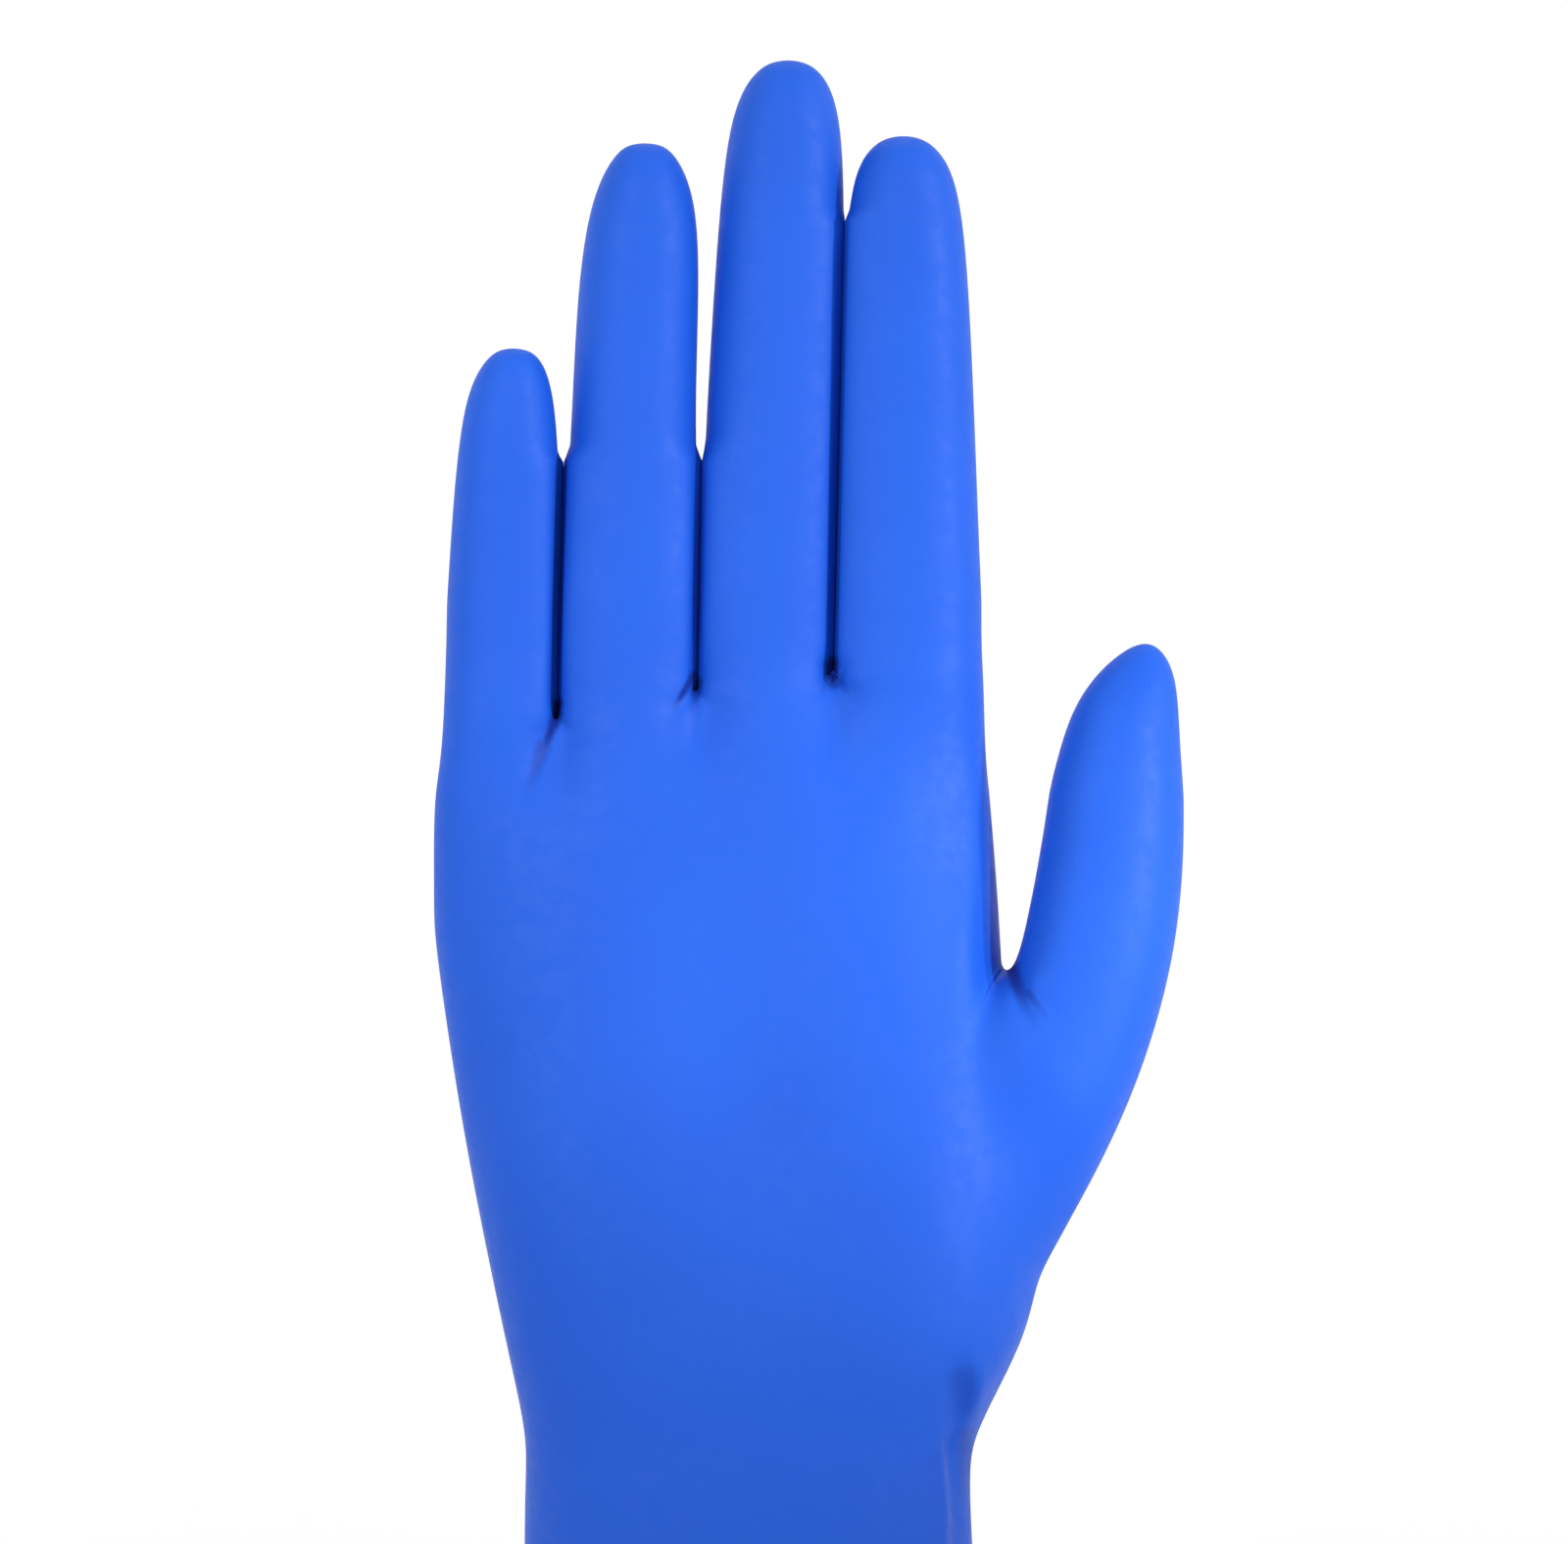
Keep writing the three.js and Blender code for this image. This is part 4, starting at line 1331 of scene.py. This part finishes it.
class ShadeGroups:
    """The node groups that the film and the bead share, each built once."""

    cloud_range: tuple[float, float] = (0.35, 0.65)
    speck_range: tuple[float, float] = (0.3, 0.7)
    crease_core: float = 0.15
    crease_narrowing: float = -0.35
    palm_to_back: tuple[float, float] = (-0.002, 0.001)

    def __init__(self) -> None:
        """Builds every group."""
        self.grain = self.film_grain()
        self.tone = self.film_tone()
        self.crease = self.crease_line()

    def film_grain(self) -> bpy.types.NodeTree:
        """The film's skin: a fine orange peel over slow waves, as one height from 0 to 1."""
        group, make, given, result = new_group(
            "film grain",
            {"Where": AT_ORIGIN, "Fine Scale": 1600.0, "Wave Scale": 60.0, "Wave Share": 0.5},
            ("Height",),
        )
        fine = make.noise(given["Where"], given["Fine Scale"], 3.0)
        wave = make.noise(given["Where"], given["Wave Scale"], 1.0)
        mixed = make.add("ShaderNodeMix", data_type="FLOAT")
        make.feed(mixed, i0=given["Wave Share"], i2=fine, i3=wave)
        make.feed(result, Height=mixed.outputs[0])
        return group

    def film_tone(self) -> bpy.types.NodeTree:
        """Where the film lies thick, and its fine specks: two masks from 0 to 1."""
        group, make, given, result = new_group(
            "film tone",
            {"Where": AT_ORIGIN, "Cloud Scale": 26.0, "Speck Scale": 420.0},
            ("Thick", "Speck"),
        )
        cloud = make.noise(given["Where"], given["Cloud Scale"])
        speck = make.noise(given["Where"], given["Speck Scale"])
        make.feed(
            result,
            Thick=make.ramp(cloud, *self.cloud_range, 0.0, 1.0),
            Speck=make.ramp(speck, *self.speck_range, 0.0, 1.0),
        )
        return group

    def crease_line(self) -> bpy.types.NodeTree:
        """A soft crease between two places on the palm, as a mask from 0 to 1 that lays the painted
        crease shade and a faint dent.
        """
        group, make, given, result = new_group(
            "crease line",
            {
                "Where": AT_ORIGIN,
                "Start": AT_ORIGIN,
                "End": (0.0, 0.0, 0.01),
                "Half Width": 0.0006,
                "Fade From": 0.2,
            },
            ("Mask",),
        )

        def vector(operation: str, *sources: object) -> bpy.types.Node:
            """A Vector Math node on the given sources."""
            node = make.add("ShaderNodeVectorMath", operation=operation)
            return make.feed(node, **{f"i{i}": s for i, s in enumerate(sources)})

        flat = vector("MULTIPLY", given["Where"], (1.0, 0.0, 1.0)).outputs[0]
        away = vector("SUBTRACT", flat, given["Start"]).outputs[0]
        along = vector("SUBTRACT", given["End"], given["Start"]).outputs[0]
        dot = vector("DOT_PRODUCT", away, along).outputs["Value"]
        length = vector("DOT_PRODUCT", along, along).outputs["Value"]
        share = make.math("DIVIDE", dot, length, clamp=True)
        scaled = make.add("ShaderNodeVectorMath", operation="SCALE")
        make.feed(scaled, i0=along, Scale=share)
        off = vector("SUBTRACT", away, scaled.outputs[0]).outputs[0]
        distance = vector("LENGTH", off).outputs["Value"]
        narrow = make.math("MULTIPLY_ADD", share, self.crease_narrowing, 1.0)
        reach = make.math("MULTIPLY", given["Half Width"], narrow)
        line = make.ramp(make.math("DIVIDE", distance, reach), self.crease_core, 1.0, 1.0, 0.0)
        apart = make.add("ShaderNodeSeparateXYZ")
        make.feed(apart, Vector=given["Where"])
        palm = make.ramp(apart.outputs["Y"], *self.palm_to_back, 1.0, 0.0)
        fade = make.ramp(share, given["Fade From"], 1.0, 1.0, 0.0)
        kept = make.math("MULTIPLY", line, fade)
        make.feed(result, Mask=make.math("MULTIPLY", kept, palm))
        return group


@dataclass(frozen=True)
class CreaseMark:
    """A soft crease of the film, drawn mostly as painted shade: a darker line in the colour over a
    faint dent.

    Args:
        start: where it begins, in millimetres (x, z).
        end: where it has faded out.
        half_width: half its width at the start.
        fade_from: how far along it starts to fade.
        depth: how dark it is, from 0 to 1.
    """

    start: tuple[float, float]
    end: tuple[float, float]
    half_width: float
    fade_from: float = 0.2
    depth: float = 1.0


@dataclass(frozen=True)
class NitrileFinish:
    """Smooth satin nitrile, coloured through, a little deeper where the film lies thick.

    Args:
        name: the material's name.
        thin: the colour of the film where it is stretched thin.
        thick: its colour where it lies thick.
        crease_shade_colour: painted shade for a crease, a deep navy that stands in for the shadow
            inside the fold.
        smoothest: its lowest roughness.
        roughest: its highest roughness.
        shine: strength of its gloss.
        fine_scale: how many grains of the orange peel a metre takes.
        wave_scale: how many slow waves a metre takes.
        wave_share: the waves' share of the relief.
        bump_height: height of the relief, in metres.
        creases: the creases that it has, each drawn as a line of painted shade over a faint dent.
        crease_height: depth of a crease, in metres.
        crease_shade_share: how far a crease takes on the painted crease shade.
    """

    name: str
    thin: tuple[float, float, float, float] = (0.0076, 0.088, 0.560, 1.0)
    thick: tuple[float, float, float, float] = (0.0068, 0.082, 0.535, 1.0)
    crease_shade_colour: tuple[float, float, float, float] = (0.0, 0.0110, 0.190, 1.0)
    smoothest: float = 0.52
    roughest: float = 0.60
    shine: float = 0.22
    fine_scale: float = 1500.0
    wave_scale: float = 70.0
    wave_share: float = 0.45
    bump_height: float = 0.00006
    creases: tuple[CreaseMark, ...] = ()
    crease_height: float = 0.00004
    crease_shade_share: float = 0.9

    def material(self, groups: ShadeGroups) -> bpy.types.Material:
        """Makes the material from the shared groups.

        Args:
            groups: the shader groups built for this scene.

        Returns:
            The material.
        """
        material = bpy.data.materials.new(self.name)
        material.use_nodes = True
        material.node_tree.nodes.clear()
        make = NodeTree(material.node_tree)
        where = make.add("ShaderNodeTexCoord").outputs["Object"]

        grain = make.add("ShaderNodeGroup", node_tree=groups.grain)
        make.feed(grain, Where=where, Fine_Scale=self.fine_scale, Wave_Scale=self.wave_scale)
        make.feed(grain, Wave_Share=self.wave_share)
        tone = make.add("ShaderNodeGroup", node_tree=groups.tone)
        make.feed(tone, Where=where)

        colour = make.blend(tone.outputs["Thick"], self.thin, self.thick)
        bump = make.add("ShaderNodeBump")
        make.feed(bump, Height=grain.outputs["Height"], Distance=self.bump_height, Strength=1.0)
        normal = bump.outputs["Normal"]
        mask = self.crease_mask(make, groups, where)
        if mask is not None:
            # Painted shade: along each crease the colour is drawn towards a deep navy that stands
            # in for the shadow inside the fold.
            colour = make.blend(make.math("MULTIPLY", mask, self.crease_shade_share), colour, self.crease_shade_colour)
            dent = make.add("ShaderNodeBump", invert=True)
            make.feed(dent, Height=mask, Distance=self.crease_height, Strength=1.0, Normal=normal)
            normal = dent.outputs["Normal"]

        shader = make.add("ShaderNodeBsdfPrincipled")
        rough = make.ramp(tone.outputs["Speck"], 0.0, 1.0, self.smoothest, self.roughest)
        if mask is not None:
            rough = make.math("MAXIMUM", rough, mask)
        make.feed(shader, Base_Color=colour, Roughness=rough, Normal=normal, IOR=1.5)
        make.feed(shader, Specular_IOR_Level=self.shine)
        out = make.add("ShaderNodeOutputMaterial")
        make.feed(out, Surface=shader.outputs["BSDF"])
        return material

    def crease_mask(
        self, make: NodeTree, groups: ShadeGroups, where: bpy.types.NodeSocket
    ) -> bpy.types.NodeSocket | None:
        """All creases as one mask, which paints their shade and dents them.

        Args:
            make: the material's node helper.
            groups: the shared groups.
            where: the place on the glove.

        Returns:
            The mask, or None where the finish has no creases.
        """
        total = None
        for mark in self.creases:
            node = make.add("ShaderNodeGroup", node_tree=groups.crease)
            start = (mark.start[0] * MM, 0.0, mark.start[1] * MM)
            end = (mark.end[0] * MM, 0.0, mark.end[1] * MM)
            make.feed(node, Where=where, Start=start, End=end, Half_Width=mark.half_width * MM)
            make.feed(node, Fade_From=mark.fade_from)
            mask = make.math("MULTIPLY", node.outputs["Mask"], mark.depth)
            total = mask if total is None else make.math("MAXIMUM", total, mask)
        return total


# Painted shade: each mark darkens the film's colour where shadow falls in a web fold or in the
# valley at the wrist; the dent under it is faint.
FILM_CREASE_SHADES = (
    # Web of the little and ring fingers.
    CreaseMark((-26.3, 150.0), (-26.9, 145.2), 1.1, 0.6),
    CreaseMark((-26.4, 148.6), (-29.6, 139.8), 1.25, 0.2),
    CreaseMark((-28.2, 144.2), (-31.0, 135.6), 1.6, 0.0, 0.6),
    # Web of the ring and middle fingers.
    CreaseMark((-7.05, 153.0), (-7.4, 148.6), 1.2, 0.3, 0.9),
    CreaseMark((-7.5, 154.0), (-10.7, 148.4), 0.85, 0.45, 0.9),
    CreaseMark((-7.2, 150.0), (-7.1, 144.5), 1.4, 0.0, 0.25),
    # Web of the middle and index fingers.
    CreaseMark((11.9, 155.6), (11.9, 151.2), 1.5, 0.4),
    CreaseMark((11.5, 153.8), (9.7, 150.8), 0.9, 0.0, 0.5),
    CreaseMark((12.4, 153.8), (15.0, 149.6), 0.9, 0.0, 0.5),
    # Web of the thumb.
    CreaseMark((36.4, 114.0), (38.7, 105.8), 1.6, 0.15),
    CreaseMark((38.6, 110.2), (41.8, 105.8), 0.8, 0.0, 0.5),
    # Painted shade in the valley at the thumb's side of the wrist.
    CreaseMark((29.6, 57.0), (30.4, 48.0), 3.0, 0.2, 0.3),
    CreaseMark((30.4, 49.0), (30.2, 36.0), 1.9, 0.3, 0.4),
)


@dataclass(frozen=True)
class Spot:
    """A spotlight whose cone fades from its middle to its edge.

    Args:
        name: the light's name.
        place: where it stands, in metres.
        target: where it points, in metres.
        power: its strength in watts.
        angle: how wide its cone is, in degrees.
        size: its own radius in metres, which softens the shadows and the cone's edge.
    """

    name: str
    place: tuple[float, float, float]
    target: tuple[float, float, float]
    power: float
    angle: float
    size: float

    def build(self) -> None:
        """Adds the light to the scene."""
        data = bpy.data.lights.new(self.name, "SPOT")
        data.energy = self.power
        data.shadow_soft_size = self.size
        data.spot_size = math.radians(self.angle)
        data.spot_blend = 1.0
        light = placed(self.name, data)
        light.location = self.place
        aim = Vector(self.target) - Vector(self.place)
        light.rotation_euler = aim.to_track_quat("-Z", "Y").to_euler()


@dataclass
class Studio:
    """A pale floor under soft studio light, brighter from the thumb's side."""

    floor_radius: float = 6.0
    floor_sides: int = 96
    floor_colour: tuple[float, float, float, float] = (0.97, 0.97, 0.97, 1.0)
    floor_roughness: float = 0.9
    white: tuple[float, float, float, float] = (1.0, 1.0, 1.0, 1.0)
    surround: float = 1.04
    spots: tuple[Spot, ...] = (
        Spot("key from the thumb's side", (1.3, -1.05, 0.45), (0.035, 0.0, 0.182), 74.0, 8.8, 0.06),
        Spot("soft front", (-0.7, -1.5, 0.6), (-0.03, 0.0, 0.162), 35.0, 9.0, 0.06),
        Spot("on the ball of the thumb", (1.1, -1.3, 0.3), (0.047, -0.01, 0.104), 96.0, 3.7, 0.03),
    )

    def floor(self) -> None:
        """Makes the floor, a wide flat disc that the cuff stands on."""
        turns = [i / self.floor_sides * math.tau for i in range(self.floor_sides)]
        points = [
            (self.floor_radius * math.cos(turn), self.floor_radius * math.sin(turn), 0.0)
            for turn in turns
        ]
        piece = new_piece("studio_floor", points, [list(range(self.floor_sides))], False)
        material = bpy.data.materials.new("pale floor")
        material.use_nodes = True
        shader = material.node_tree.nodes["Principled BSDF"]
        shader.inputs["Base Color"].default_value = self.floor_colour
        shader.inputs["Roughness"].default_value = self.floor_roughness
        piece.data.materials.append(material)

    def surroundings(self) -> None:
        """Lights the scene evenly from all round."""
        world = bpy.data.worlds.new("white room")
        world.use_nodes = True
        back = world.node_tree.nodes["Background"]
        back.inputs["Color"].default_value = self.white
        back.inputs["Strength"].default_value = self.surround
        bpy.context.scene.world = world

    def build(self) -> None:
        """Sets up the floor and every light."""
        self.floor()
        self.surroundings()
        for spot in self.spots:
            spot.build()
        bpy.context.scene.view_settings.view_transform = "Standard"


@dataclass
class Viewpoint:
    """The camera at the photograph's viewing angle, square on to the palm.

    Args:
        across: its place along X, in metres.
        height: its height, in metres.
        distance: how far in front of the palm it stands, in metres.
        lens: its focal length, in millimetres.
        sensor: its sensor's width, in millimetres.
    """

    across: float = 0.00507
    height: float = 0.1405
    distance: float = 0.913
    lens: float = 150.0
    sensor: float = 36.0

    def build(self) -> None:
        """Adds the camera and makes it the scene's own."""
        data = bpy.data.cameras.new("view")
        data.lens = self.lens
        data.sensor_width = self.sensor
        camera = placed("view", data)
        camera.location = (self.across, -self.distance, self.height)
        camera.rotation_euler = (math.pi / 2, 0.0, 0.0)
        bpy.context.scene.camera = camera


def dress(piece: bpy.types.Object, material: bpy.types.Material) -> None:
    """Gives a piece its finish and ties it to the part's body.

    Args:
        piece: the piece to dress.
        material: its finish.
    """
    piece.data.materials.append(material)
    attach(piece, "root")
    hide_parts("glove_shell")
    log.info("%s: %d faces", piece.name, len(piece.data.polygons))


def main() -> None:
    """Builds the glove, the studio and the camera."""
    logging.basicConfig(level=logging.INFO, format="%(message)s")
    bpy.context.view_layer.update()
    Viewpoint().build()
    groups = ShadeGroups()
    film = FilmPiece()
    dress(film.build(), NitrileFinish("nitrile film", creases=FILM_CREASE_SHADES).material(groups))
    bead = NitrileFinish("nitrile bead", smoothest=0.48, roughest=0.56, wave_scale=300.0)
    dress(RolledBead().build(film.mouth), bead.material(groups))
    Studio().build()


if __name__ == "__main__":
    main()
